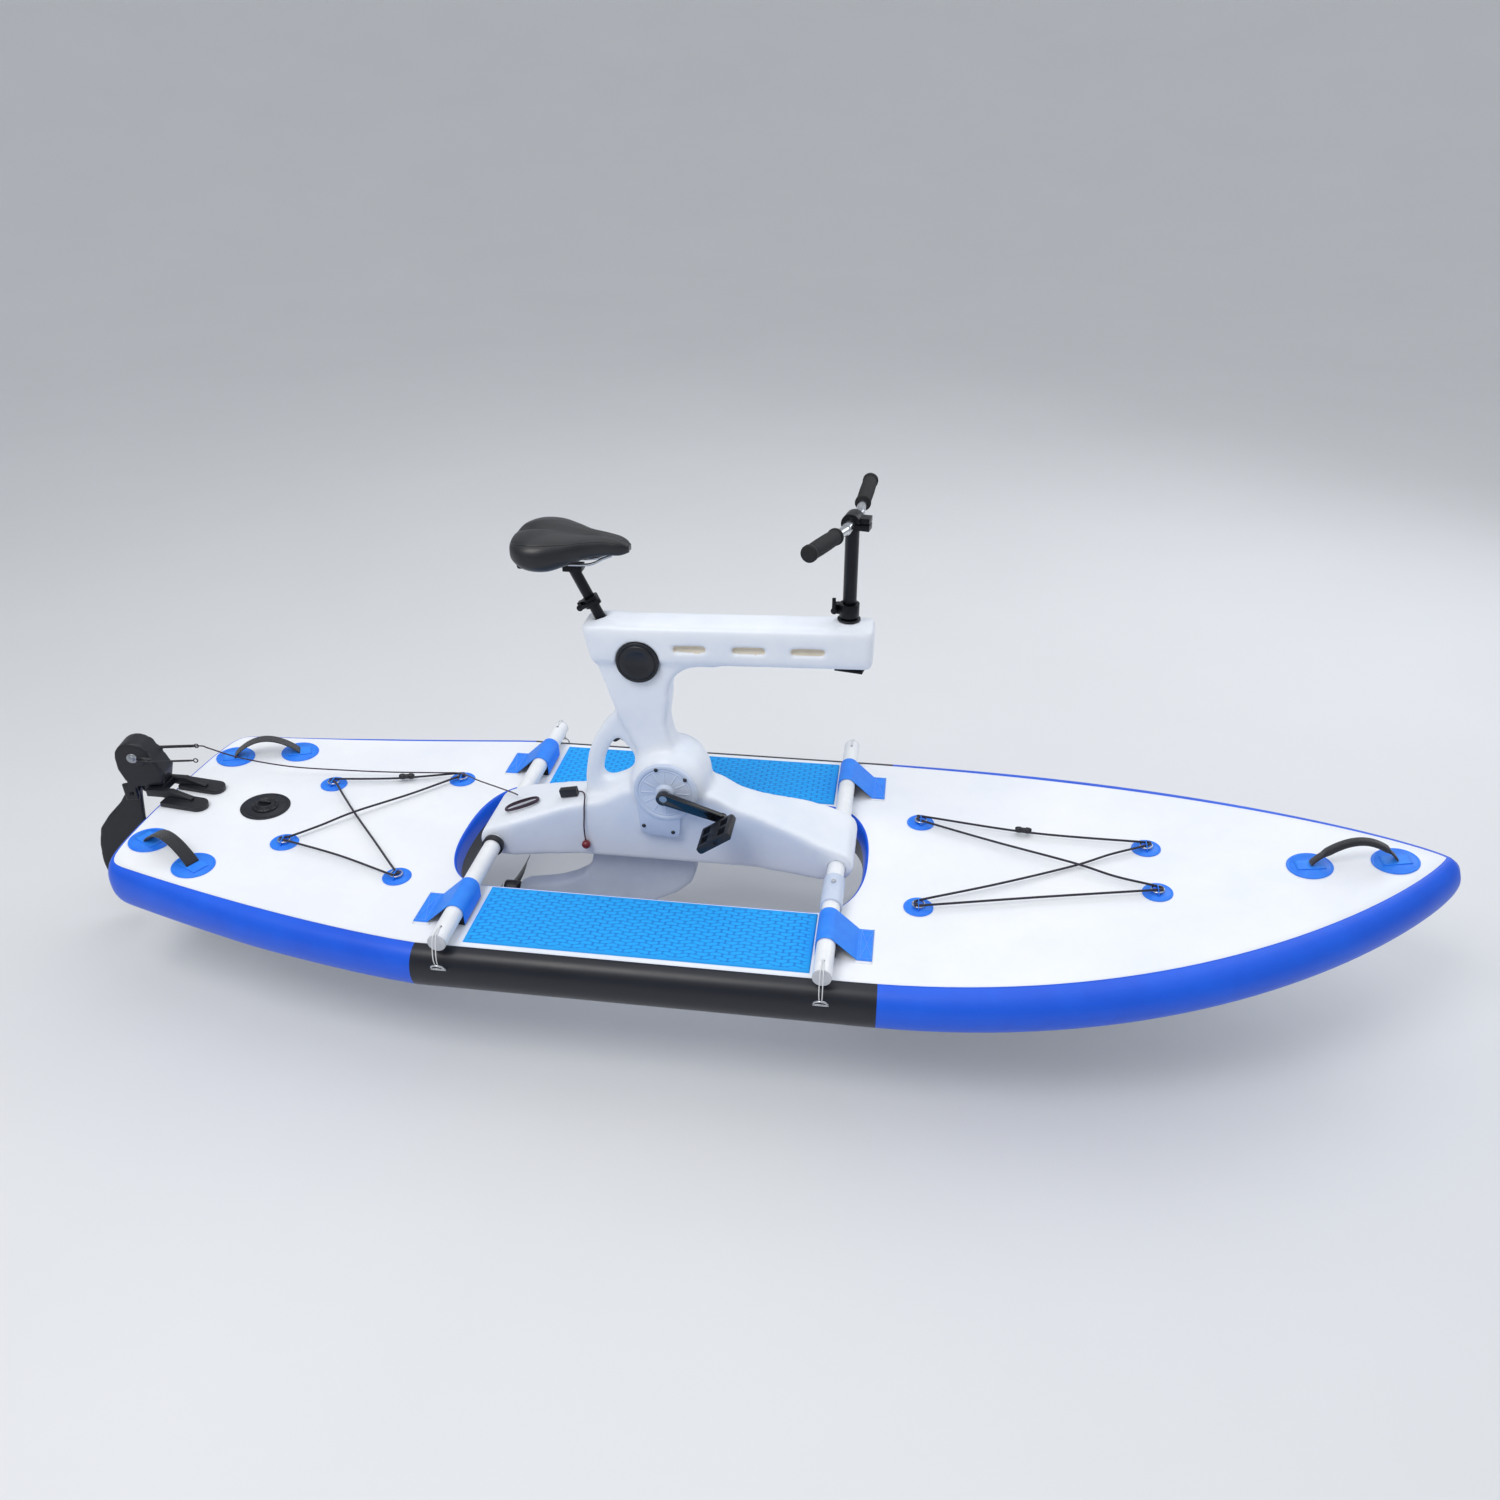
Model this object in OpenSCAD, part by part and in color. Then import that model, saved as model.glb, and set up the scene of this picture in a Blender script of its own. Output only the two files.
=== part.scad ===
// Pedal boat: an inflatable board with two cross tubes, a moulded pedal frame, a propeller leg
// and a kick-up rudder. +X is forward, +Y is port, +Z is up. The origin is the centre of the leg
// well, midway between the cross tubes, in the plane of the board's flat underside.

/* [Board] */
// Deck length forward of the origin, to the bow's deck edge
deck_front = 1968; // [1700:1:2200]
// Deck length aft of the origin, to the stern's deck edge
deck_aft = 1466; // [1440:1:1480]
// Half width of the flat deck amidships
deck_half_w = 495; // [450:1:560]
// Thickness of the inflated board
board_t = 120; // [100:1:150]
// How far the rail bulges past the deck's edge
rail_out = 46; // [30:1:60]
// Extra bulge of the rail halfway along the bow
bow_swell = 14; // [0:1:20]
// Half width of the leg well
well_half_w = 250; // [220:1:270]
// Length of the well's straight sides forward of the origin
well_front = 395; // [380:1:420]
// Length of the well's straight sides aft of the origin
well_aft = 440; // [420:1:460]
// Length of the well's rounded ends
well_end = 148; // [120:1:160]

/* [Cross tubes] */
// Distance from the origin to each cross tube
tube_x = 463; // [440:1:480]
// Height of the tube axis above the underside
tube_z = 158; // [155:1:165]
// Outer radius of a cross tube
tube_r = 23; // [20:0.5:24]
// Wall of a cross tube
tube_wall = 2.5; // [2:0.5:4]
// Length of a cross tube
tube_l = 1060; // [1000:1:1120]

/* [Frame] */
// Width of the top beam
beam_w = 110; // [100:1:120]
// Height of the top beam
beam_h = 108; // [100:1:120]
// Width of the tower
tower_w = 88; // [84:1:96]
// Half width of the frame at the cross tubes
boss_half_w = 105; // [95:1:110]
// Half width of the frame's lower body between the tubes
body_half_w = 66; // [60:1:72]
// Radius of the gear drum
drum_r = 104; // [102:1:108]
// Half width of the gear drum
drum_half_w = 80; // [78:1:82]

/* [Drive] */
// Crank length, axle to pedal spindle
crank_l = 160; // [150:1:165]
// Crank angle below the horizontal, starboard crank forward
crank_a = 18; // [0:1:90]
// Teeth on the crown gear
crown_n = 60; // [60:4:60]
// Teeth on the pinion
pinion_n = 12; // [12:1:12]
// Propeller radius
prop_r = 165; // [140:1:168]

/* [Cockpit] */
// Lean of the seat post from the vertical
seat_lean = 25; // [20:1:28]
// Steering angle at rest, to starboard
steer_rest = 11; // [0:1:15]
// Half width of the handlebar
bar_half_w = 268; // [240:1:300]
// Backward sweep of each bar end
bar_sweep = 7; // [0:1:15]

/* [Rudder] */
// Distance of the rudder's turning axis aft of the origin
rudder_x = 1530; // [1525:1:1540]
// Height of the blade's kick-up bolt
kick_z = 178; // [170:1:190]

/* [Hidden] */
$fn = 48;
eps = 0.01;

// ---- colours
white = [0.93, 0.95, 0.98];
rail_blue = [0.02, 0.33, 0.88];
azure = [0.0, 0.62, 0.97];
black = [0.05, 0.06, 0.08];
steel = [0.72, 0.74, 0.77];
shade = [0.62, 0.70, 0.82];

// ---- board outline, as functions of the distance along it
rail_r = board_t / 2;
bow_start = 485;
stern_start = 539;
bow_len = deck_front - bow_start;
stern_len = deck_aft - stern_start;
stern_taper_len = 971;
corner_power = 80;
rocker_start = 583;
function rocker(x) = x > rocker_start ? 0.0000728 * pow(x - rocker_start, 2)
    : x < -rocker_start ? 0.0000566 * pow(-rocker_start - x, 2) : 0;
function bow_w(t) = deck_half_w * pow(max(0, 1 - pow(t, 2.18)), 0.85);
function stern_w(s) = deck_half_w * (1 - 0.34 * pow(s * stern_len / stern_taper_len, 1.2))
    * sqrt(max(0, 1 - pow(s, corner_power)));
end_steps = 11;
mid_steps = 4;
// one side of the deck edge, from the bow's tip to the middle of the transom
side_edge = concat(
    [for (k = [0 : end_steps - 1]) let (t = cos(90 * k / end_steps)) [bow_start + bow_len * t, bow_w(t)]],
    [for (k = [0 : mid_steps]) [bow_start - (bow_start + stern_start) * k / mid_steps, deck_half_w]],
    [for (k = [1 : end_steps]) let (s = 1 - pow(1 - k / end_steps, 3)) [-stern_start - stern_len * s, stern_w(s)]]);
function power(v, p) = v < 1e-6 ? 0 : pow(v, p);
well_p = 2 / 2.4;
side_well = concat(
    [for (k = [0 : end_steps - 1]) let (a = 90 * k / end_steps)
        [well_front + well_end * power(cos(a), well_p), well_half_w * power(sin(a), well_p)]],
    [for (k = [0 : mid_steps]) [well_front - (well_front + well_aft) * k / mid_steps, well_half_w]],
    [for (k = [1 : end_steps]) let (a = 90 * k / end_steps)
        [-well_aft - well_end * power(sin(a), well_p), well_half_w * power(cos(a), well_p)]]);
side_n = len(side_edge);
function loop(side) = concat(side, [for (k = [side_n - 2 : -1 : 1]) [side[k][0], -side[k][1]]]);
edge = loop(side_edge);
well = loop(side_well);
ring_n = len(edge);
function unit(v) = v / norm(v);
function outward(list, k) = let (
    a = list[(k + ring_n - 1) % ring_n],
    b = list[(k + 1) % ring_n],
    t = unit(b - a)) [t[1], -t[0]];
deck_steps = 6;
rail_steps = 8;
wall_steps = 4;
wall_bulge = 14;
// one ring of the board's skin: deck outwards, rail down, underside inwards, well wall up
function skin(k) = let (p = edge[k], q = well[k], n = outward(edge, k), m = outward(well, k)) concat(
    [for (i = [0 : deck_steps - 1]) let (c = q + (p - q) * i / deck_steps)
        [c[0], c[1], board_t + rocker(c[0])]],
    [for (i = [0 : rail_steps]) let (a = 180 * i / rail_steps, c = p + n * rail_bulge(p[0]) * sin(a))
        [c[0], c[1], rail_r + rail_r * cos(a) + rocker(p[0])]],
    [for (i = [1 : deck_steps]) let (c = p + (q - p) * i / deck_steps) [c[0], c[1], rocker(c[0])]],
    [for (i = [1 : wall_steps - 1]) let (a = 180 * i / wall_steps, c = q - m * wall_bulge * sin(a))
        [c[0], c[1], rail_r - rail_r * cos(a) + rocker(q[0])]]);
skin_n = len(skin(0));
// the rail swells along the bow and flattens towards the transom
function rail_bulge(x) = x > bow_start ? rail_out + bow_swell * sin(180 * (x - bow_start) / bow_len)
    : x > -1000 ? rail_out : rail_out * (1 - 0.5 * (-1000 - x) / (deck_aft - 1000));

// ---- smooth cords: a Catmull-Rom curve through hand-chosen points, swept with a round section
function spline(p0, p1, p2, p3, t) = 0.5 * (2 * p1 + (p2 - p0) * t + (2 * p0 - 5 * p1 + 4 * p2 - p3) * t * t
    + (3 * p1 - p0 - 3 * p2 + p3) * t * t * t);
function open_curve(p, steps) = let (n = len(p)) concat([for (k = [0 : n - 2]) for (j = [0 : steps - 1])
    spline(p[max(0, k - 1)], p[k], p[k + 1], p[min(n - 1, k + 2)], j / steps)], [p[n - 1]]);
function closed_curve(p, steps) = let (n = len(p)) [for (k = [0 : n - 1]) for (j = [0 : steps - 1])
    spline(p[(k + n - 1) % n], p[k], p[(k + 1) % n], p[(k + 2) % n], j / steps)];
module cord(p, d, closed = false, up = [0, 0, 1], sides = 8) {
    n = len(p);
    rings = [for (k = [0 : n - 1])
        let (a = closed ? p[(k + n - 1) % n] : p[max(0, k - 1)],
            b = closed ? p[(k + 1) % n] : p[min(n - 1, k + 1)],
            t = unit(b - a), u = unit(cross(t, up)), v = cross(t, u))
        for (j = [0 : sides - 1]) p[k] + d / 2 * (u * cos(360 * j / sides) + v * sin(360 * j / sides))];
    last = closed ? n - 1 : n - 2;
    walls = [for (k = [0 : last]) for (j = [0 : sides - 1])
        let (a = k * sides + j, b = k * sides + (j + 1) % sides, c = ((k + 1) % n) * sides + (j + 1) % sides,
            e = ((k + 1) % n) * sides + j) each [[a, c, b], [a, e, c]]];
    caps = closed ? [] : [[for (j = [0 : sides - 1]) j], [for (j = [sides - 1 : -1 : 0]) (n - 1) * sides + j]];
    polyhedron(rings, concat(walls, caps), convexity = 6);
}

// ---- board and deck fittings
module board_hull() {
    points = [for (k = [0 : ring_n - 1]) each skin(k)];
    faces = [for (k = [0 : ring_n - 1]) for (i = [0 : skin_n - 1])
        let (k2 = (k + 1) % ring_n, i2 = (i + 1) % skin_n, a = k * skin_n + i, b = k * skin_n + i2,
            c = k2 * skin_n + i2, e = k2 * skin_n + i) each [[a, c, b], [a, e, c]]];
    color(white) polyhedron(points, faces, convexity = 8);
}

valve_x = -1188;
valve_patch_r = 68;
module on_deck(x, y, lift = 0) {
    slope = atan((rocker(x + 5) - rocker(x - 5)) / 10);
    translate([x, y, board_t + rocker(x) + lift]) rotate([0, -slope, 0]) children();
}
module valve() {
    color(black) on_deck(valve_x, 0, 0.9) {
        cylinder(r = valve_patch_r, h = 2);
        cylinder(r = 32, h = 9);
        cylinder(r = 25, h = 15);
        translate([-14, -3, 0]) cube([28, 6, 19]);
    }
}

pad_x0 = -424;
pad_x1 = 430;
pad_y0 = 256;
pad_y1 = 477;
pad_t = 5;
module pad(side) {
    color(azure) translate([0, side * (pad_y0 + pad_y1) / 2, board_t]) linear_extrude(pad_t)
        polygon([[pad_x0, side * (pad_y1 - pad_y0) / 2], [pad_x1, side * (pad_y1 - pad_y0) / 2],
            [pad_x1, -side * (pad_y1 - pad_y0) / 2], [pad_x0, -side * (pad_y1 - pad_y0) / 2]]);
}

// ---- bungees: the corner rings' places, half the plan; the other half mirrors them
ring_patch_r = 38;
ring_patch_t = 3;
ring_wire = 4.5;
ring_r = 15;
cord_d = 8;
cord_lift = 16;
aft_corners = [[-690, 246], [-1053, 152]];
fore_corners = [[680, 193], [1277, 97]];
module deck_ring(x, y) {
    on_deck(x, y, 1) {
        color(rail_blue) cylinder(r = ring_patch_r, h = ring_patch_t);
        color(rail_blue) translate([-7, -12, 0]) cube([14, 24, ring_patch_t + 5]);
        color(steel) translate([0, 0, ring_patch_t + 7]) rotate_extrude()
            translate([ring_r, 0]) circle(d = ring_wire, $fn = 16);
    }
}
module bungee_rings() {
    for (c = concat(aft_corners, fore_corners))
        for (s = [-1, 1])
            deck_ring(c[0], s * c[1]);
}
// the lacing runs ring to ring in a figure of eight and turns outside each ring's bar
function lifted(x, y, h) = [x, y, board_t + rocker(x) + h];
function lacing(c, dir) = let (x0 = c[0][0], y0 = c[0][1], x1 = c[1][0], y1 = c[1][1], h = cord_lift,
    xm = (x0 * y1 + x1 * y0) / (y0 + y1)) [
    lifted(x0, y0 + 9, h), lifted(x0 + dir * 9, y0, h), lifted(x0 - dir * 14, y0 - 16, h),
    lifted((x0 + xm) / 2, y0 / 2, h), lifted(xm, 0, h + 6),
    lifted((x1 + xm) / 2, -y1 / 2, h), lifted(x1 + dir * 14, -y1 + 12, h),
    lifted(x1 - dir * 9, -y1, h), lifted(x1, -y1 - 9, h), lifted(x1 + dir * 16, -y1 - 10, h),
    lifted((x0 + x1) / 2, -(y0 + y1) / 2, h), lifted(x0 - dir * 16, -y0 - 9, h),
    lifted(x0, -y0 - 9, h), lifted(x0 + dir * 9, -y0, h), lifted(x0 - dir * 14, -y0 + 16, h),
    lifted((x0 + xm) / 2, -y0 / 2, h), lifted(xm, 0, h - 5),
    lifted((x1 + xm) / 2, y1 / 2, h), lifted(x1 + dir * 14, y1 - 12, h),
    lifted(x1 - dir * 9, y1, h), lifted(x1, y1 + 9, h), lifted(x1 + dir * 16, y1 + 10, h),
    lifted((x0 + x1) / 2, (y0 + y1) / 2, h), lifted(x0 - dir * 16, y0 + 9, h)];
module bungee(corners, dir, bead_x) {
    c = corners;
    f = (bead_x - c[0][0]) / (c[1][0] - c[0][0]);
    color(black) cord(closed_curve(lacing(c, dir), 3), cord_d);
    color(black) translate(lifted(bead_x, c[0][1] + f * (c[1][1] - c[0][1]) + 9, cord_lift))
        rotate([0, 90, atan((c[1][1] - c[0][1]) / (c[1][0] - c[0][0]))])
            cylinder(r = 9, h = 44, center = true);
}

// ---- carry handles: a strap arch between two round patches
bow_patches = [[1658, 0], [1855, 0]];
stern_patches = [[-1400, 224], [-1232, 300]];
handle_patch_r = 55;
strap_w = 38;
strap_t = 4;
module handle_patches() {
    color(rail_blue) {
        for (p = bow_patches)
            on_deck(p[0], p[1], 1.4) cylinder(r = handle_patch_r, h = 3);
        for (p = stern_patches)
            for (s = [-1, 1])
                on_deck(p[0], s * p[1], 1) cylinder(r = handle_patch_r, h = 3);
    }
}
// the arch rises as half a sine wave between two feet
arch_steps = 14;
module handle_strap(a, b, rise, w, t) {
    run = norm(b - a);
    za = board_t + rocker(a[0]) + 4;
    zb = board_t + rocker(b[0]) + 4;
    function top(i) = let (f = i / arch_steps) [run * f, za + (zb - za) * f + rise * pow(sin(180 * f), 0.8) + t];
    outer = [for (i = [0 : arch_steps]) top(i)];
    inner = [for (i = [arch_steps : -1 : 0]) top(i) - [0, t]];
    translate([a[0], a[1], 0]) rotate([0, 0, atan2(b[1] - a[1], b[0] - a[0])]) rotate([90, 0, 0])
        linear_extrude(w, center = true) polygon(concat(outer, inner));
}
module bow_handle() {
    color(black) handle_strap(bow_patches[0], bow_patches[1], 62, 30, 14);
}
module stern_handles() {
    color(black) for (s = [-1, 1])
        handle_strap([stern_patches[0][0], s * stern_patches[0][1]], [stern_patches[1][0], s * stern_patches[1][1]],
            52, strap_w, strap_t);
}

// ---- cross tubes and what holds them
tube_end = tube_l / 2;
tie_hole_r = 4;
tie_hole_y = tube_end - 32;
module across(x, z, r, y0, y1) {
    translate([x, y0, z]) rotate([-90, 0, 0]) cylinder(r = r, h = y1 - y0);
}
module cross_tube(x) {
    color(white) difference() {
        across(x, tube_z, tube_r, -tube_end, tube_end);
        across(x, tube_z, tube_r - tube_wall, -tube_end - 1, tube_end + 1);
        for (s = [-1, 1])
            translate([x, s * tie_hole_y, tube_z]) cylinder(r = tie_hole_r, h = tube_r + 1);
        if (x > 0)
            translate([x, button_y, tube_z]) cylinder(r = button_r + 0.08, h = tube_r + 1);
    }
}
module tube_caps() {
    color([0.78, 0.80, 0.82]) for (x = [-tube_x, tube_x])
        for (s = [-1, 1]) {
            y = s * tube_end;
            across(x, tube_z, tube_r, min(y, y + s * 4), max(y, y + s * 4));
            across(x, tube_z, tube_r - tube_wall, min(y, y - s * 16), max(y, y - s * 16));
        }
}
cradle_y0 = 300;
cradle_y1 = 420;
module tube_cradles() {
    color(black) for (x = [-tube_x, tube_x])
        for (s = [-1, 1])
            difference() {
                translate([x - 23, s * (cradle_y0 + cradle_y1) / 2 - 54, board_t])
                    cube([46, 108, tube_z - board_t - 8]);
                across(x, tube_z, tube_r, -tube_end, tube_end);
            }
}
// a strap's side view: over the tube, then sloping to the deck away from the well
strap_r = tube_r + 0.4;
strap_skin = 3;
strap_reach = 112;
strap_tail_a = 40;
module strap_profile() {
    r1 = strap_r;
    r2 = strap_r + strap_skin;
    foot = board_t + pad_t + 0.5 - tube_z;
    deck = board_t + 0.4 - tube_z;
    inner = [for (a = [180 : -10 : strap_tail_a]) [r1 * cos(a), r1 * sin(a)]];
    outer = [for (a = [strap_tail_a : 10 : 180]) [r2 * cos(a), r2 * sin(a)]];
    polygon(concat([[-r1, foot]], inner, [[strap_reach - 34, deck + strap_skin], [strap_reach - 34, deck],
        [strap_reach, deck], [strap_reach, deck + strap_skin]], outer, [[-r2, foot]]));
}
module tube_straps() {
    color([0.12, 0.50, 1.0]) for (d = [-1, 1])
        for (s = [-1, 1])
            translate([d * tube_x, s * (cradle_y0 + cradle_y1) / 2, tube_z]) scale([d, 1, 1])
                rotate([90, 0, 0]) linear_extrude(118, center = true) strap_profile();
}
tie_ring_y = 548;
tie_ring_z = 92;
tie_wire = 5;
tie_r = 17;
module tie_rings() {
    color(steel) for (x = [-tube_x, tube_x])
        for (s = [-1, 1])
            translate([x, s * tie_ring_y, tie_ring_z]) rotate([s * 62, 0, 0]) {
                intersection() {
                    rotate_extrude() translate([tie_r, 0]) circle(d = tie_wire, $fn = 16);
                    translate([-40, s > 0 ? -6 : -40, -10]) cube([80, 46, 20]);
                }
                translate([-tie_r - 2, s > 0 ? -6 : 6, 0]) rotate([0, 90, 0])
                    cylinder(d = tie_wire, h = 2 * tie_r + 4);
            }
}
module tie_loops() {
    color(white) for (x = [-tube_x, tube_x])
        for (s = [-1, 1]) {
            loop_points = [[x - 3, s * 551, 102], [x - 4, s * 556, 128], [x - 4, s * 545, 172],
                [x - 3, s * 531, tube_z + tube_r + 4], [x - 1, s * (tie_hole_y + 2), tube_z + tube_r + 3], [x + 1, s * (tie_hole_y + 2), tube_z + tube_r + 3],
                [x + 3, s * 531, tube_z + tube_r + 4], [x + 4, s * 545, 172], [x + 4, s * 556, 128], [x + 3, s * 551, 102]];
            cord(open_curve(loop_points, 3), 2.5, false, [0.2, s, 0.3], 6);
        }
}
module tube_collar() {
    color(black) difference() {
        across(-tube_x, tube_z, tube_r + 6, -boss_half_w - 26, -boss_half_w - 8);
        across(-tube_x, tube_z, tube_r, -tube_end, tube_end);
    }
}
sleeve_r = tube_r + 5;
button_y = -200;
button_r = 6;
button_proud = 5;
module lock_button() {
    color(steel) translate([tube_x, button_y, tube_z]) {
        translate([0, 0, 16]) cylinder(r = button_r, h = sleeve_r + button_proud - 16);
        translate([0, 0, 16]) cylinder(r = button_r + 2, h = 2.5);
    }
}
module lock_sleeve() {
    color(shade) {
        difference() {
            across(tube_x, tube_z, sleeve_r, -270, -162);
            across(tube_x, tube_z, tube_r, -tube_end, tube_end);
            translate([tube_x, button_y, tube_z]) cylinder(r = button_r + 0.05, h = 60);
        }
    }
}

// ---- drive geometry: the shaft runs from the crank axle's apex to the leg's lower apex
axle_x = 12;
axle_z = 342;
low_x = -110;
low_z = -78;
shaft_len = norm([axle_x - low_x, axle_z - low_z]);
shaft_a = atan((axle_x - low_x) / (axle_z - low_z));
module along_shaft() {
    translate([low_x, 0, low_z]) rotate([0, shaft_a, 0]) children();
}
shaft_r = 7;
cavity_r = 64;
tunnel_r = 20;

// ---- the moulded frame
drum_mid = 40;
drum_face_r = 90;
beam_rise = 1.8;
beam_x1 = 528;
seat_x = -150;
seat_z = 792;
seat_bore = 15;
post_r = 13.6;
column_x = 465;
column_bore = 23;
back_top = [-190, 786];
back_foot = [-119, 547];
module side_slab(points, half) {
    rotate([90, 0, 0]) linear_extrude(2 * half, center = true) polygon(points);
}
function arc(c, r, a0, a1, n) = [for (i = [0 : n]) let (a = a0 + (a1 - a0) * i / n) c + r * [cos(a), sin(a)]];
boss_r = 45;
body_low = 107;
lower_points = concat(
    arc([tube_x, tube_z], boss_r, -90, 78, 8),
    [[364, 244], [191, 290], [130, 326]],
    [[-105, 330], [-173, 288], [-285, 262], [-412, 224]],
    arc([-tube_x, tube_z], boss_r, 100, 270, 8),
    [[-300, body_low], [300, body_low]]);
throat_c = [105, 602];
throat_r = 84;
tower_points = concat(
    [back_top, [150, 790], [150, 686]],
    arc(throat_c, throat_r, 90, 190, 8),
    [[12, 520], [20, 471], [44, 424], [84, 390]],
    [[100, 300], [-60, 300], [-66, 428], back_foot]);
module beam() {
    intersection() {
        translate([-200, 0, 682]) rotate([0, -beam_rise, 0]) rotate([90, 0, 90]) linear_extrude(780)
            translate([0, beam_h / 2]) offset_box(beam_w, beam_h, 20);
        side_slab([back_top, [-160, 640], [beam_x1, 640], [beam_x1, 840], [-174, 840]], beam_w);
    }
}
// a rectangle with round corners, from two bars and four discs
module offset_box(w, h, r) {
    square([w - 2 * r, h], center = true);
    square([w, h - 2 * r], center = true);
    for (x = [-1, 1])
        for (y = [-1, 1])
            translate([x * (w / 2 - r), y * (h / 2 - r)]) circle(r = r);
}
pocket_l = 82;
pocket_h = 17;
pocket_depth = 16;
pocket_x = [81, 228, 372];
function pocket_z(x) = 740 + (x - 81) * tan(beam_rise);
cap_x = -50;
cap_z = 698;
cap_r = 54;
module frame_body() {
    color(white) difference() {
        union() {
            side_slab(lower_points, body_half_w);
            intersection() {
                side_slab(lower_points, boss_half_w);
                translate([0, 0, 60]) linear_extrude(260) for (s = [-1, 1])
                    polygon([[s * 520, -boss_half_w], [s * 520, boss_half_w], [s * 420, boss_half_w],
                        [s * 240, body_half_w - 1], [s * 240, 1 - body_half_w], [s * 420, -boss_half_w]]);
            }
            drum();
            side_slab(tower_points, tower_w / 2);
            // flat pad under the covers' tabs
            side_slab([[axle_x - 76, 300], [axle_x - 76, 206], [axle_x + 38, 206], [axle_x + 52, 300]], drum_half_w);
            beam();
            // wedge round the seat post
            side_slab([[-176, 780], [-150, 800], [-112, 803], [-74, 780]], 34);
            // boss round the steering column
            translate([column_x, 0, 780]) cylinder(r1 = 38, r2 = 32, h = 40);
            carry_loop();
        }
        across(axle_x, axle_z, cavity_r, -drum_half_w - 1, drum_half_w + 1);
        along_shaft() translate([0, 0, 170]) cylinder(r = tunnel_r, h = shaft_len - 200);
        for (x = [-tube_x, tube_x])
            across(x, tube_z, tube_r + 0.2, -140, 140);
        translate([seat_x, 0, seat_z]) rotate([0, -seat_lean, 0]) translate([0, 0, -185])
            cylinder(r = seat_bore, h = 260);
        translate([column_x, 0, 640]) cylinder(r = column_bore, h = 220);
        for (s = [-1, 1]) {
            for (x = pocket_x)
                translate([x, s * (beam_w / 2 - pocket_depth / 2 + 1), pocket_z(x)]) rotate([0, -beam_rise, 0])
                    cube([pocket_l, pocket_depth + 2, pocket_h], center = true);
            across(cap_x, cap_z, cap_r + 0.5, s > 0 ? 37 : -70, s > 0 ? 70 : -37);
            // screw holes of the gear covers
            for (p = screw_places)
                across(axle_x + p[0], axle_z + p[1], screw_r + 0.1, s > 0 ? 50 : -90, s > 0 ? 90 : -50);
        }
    }
}
// gear drum: full width amidships, coned down to the covers on both sides
module drum() {
    across(axle_x, axle_z, drum_r, -drum_mid, drum_mid);
    for (s = [-1, 1])
        translate([axle_x, s * drum_mid, axle_z]) rotate([-s * 90, 0, 0])
            cylinder(r1 = drum_r, r2 = drum_face_r, h = drum_half_w - drum_mid);
}
loop_w = 46;
module carry_loop() {
    difference() {
        side_slab(concat([[-118, 545]], [[-158, 500], [-190, 450], [-208, 404], [-220, 340], [-224, 262]],
            [[-90, 262], [-60, 420]]), loop_w / 2);
        side_slab([[-122, 462], [-142, 440], [-162, 402], [-174, 354], [-172, 332], [-150, 330], [-112, 346],
            [-78, 372], [-84, 412]], loop_w);
    }
}
// the gear covers' screws, from the axle: two over the disc and two in the tab below it
screw_places = [[-21, 70], [54, 46], [-62, -106], [16, -121]];
screw_r = 2.5;
module access_caps() {
    color(black) for (s = [-1, 1]) {
        across(cap_x, cap_z, cap_r, s > 0 ? 38 : -57, s > 0 ? 57 : -38);
        across(cap_x, cap_z, cap_r - 10, s > 0 ? 57 : -59, s > 0 ? 59 : -57);
    }
}
cleat_x = -268;
cleat_z = 268;
module cleat() {
    color(black) translate([cleat_x, -18, cleat_z + 0.6]) rotate([0, -11, 0]) difference() {
        translate([-24, -9, 0]) cube([48, 18, 22]);
        translate([-30, 0, 12]) rotate([0, 90, 0]) cylinder(r = 3.2, h = 60);
    }
}

// ---- gear covers, crank axle and bearings
cover_r = 84;
cover_t = 10;
hub_r = 32;
axle_r = 10;
bearing_r = 24;
cover_tab = [[-82, -18], [-74, -116], [-58, -130], [18, -138], [34, -128], [40, -60]];
module gear_cover(s) {
    y0 = drum_half_w + 0.2;
    color(shade) difference() {
        union() {
            across(axle_x, axle_z, cover_r, s > 0 ? y0 : -y0 - cover_t, s > 0 ? y0 + cover_t : -y0);
            translate([axle_x, s > 0 ? y0 + cover_t : -y0, axle_z]) rotate([90, 0, 0]) linear_extrude(cover_t)
                polygon(cover_tab);
            across(axle_x, axle_z, hub_r, s > 0 ? 68 : -y0 - cover_t - 6, s > 0 ? y0 + cover_t + 6 : -68);
        }
        across(axle_x, axle_z, bearing_r, s > 0 ? 60 : -92, s > 0 ? 92 : -60);
        across(axle_x, axle_z, axle_r + 3, -150, 150);
        for (p = screw_places)
            across(axle_x + p[0], axle_z + p[1], screw_r + 0.6, -150, 150);
    }
}
module cover_screws() {
    color(black) for (s = [-1, 1])
        for (p = screw_places) {
            y0 = drum_half_w + cover_t + 0.2;
            across(axle_x + p[0], axle_z + p[1], screw_r, s > 0 ? 55 : -y0, s > 0 ? y0 : -55);
            across(axle_x + p[0], axle_z + p[1], 5.5, s > 0 ? y0 : -y0 - 3, s > 0 ? y0 + 3 : -y0);
        }
}
module race(x, z, y0, y1, r_in, r_out) {
    difference() {
        across(x, z, r_out, y0, y1);
        across(x, z, r_in, y0 - 1, y1 + 1);
    }
}
module crank_bearings() {
    color(steel) {
        race(axle_x, axle_z, 76, 90, axle_r + 0.05, bearing_r - 0.05);
        race(axle_x, axle_z, -90, -76, axle_r + 0.05, bearing_r - 0.05);
    }
}
arm_y = 104;
arm_t = 15;
module crank_axle() {
    color(steel) across(axle_x, axle_z, axle_r, -arm_y - arm_t + 2, arm_y + arm_t - 2);
}

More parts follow.
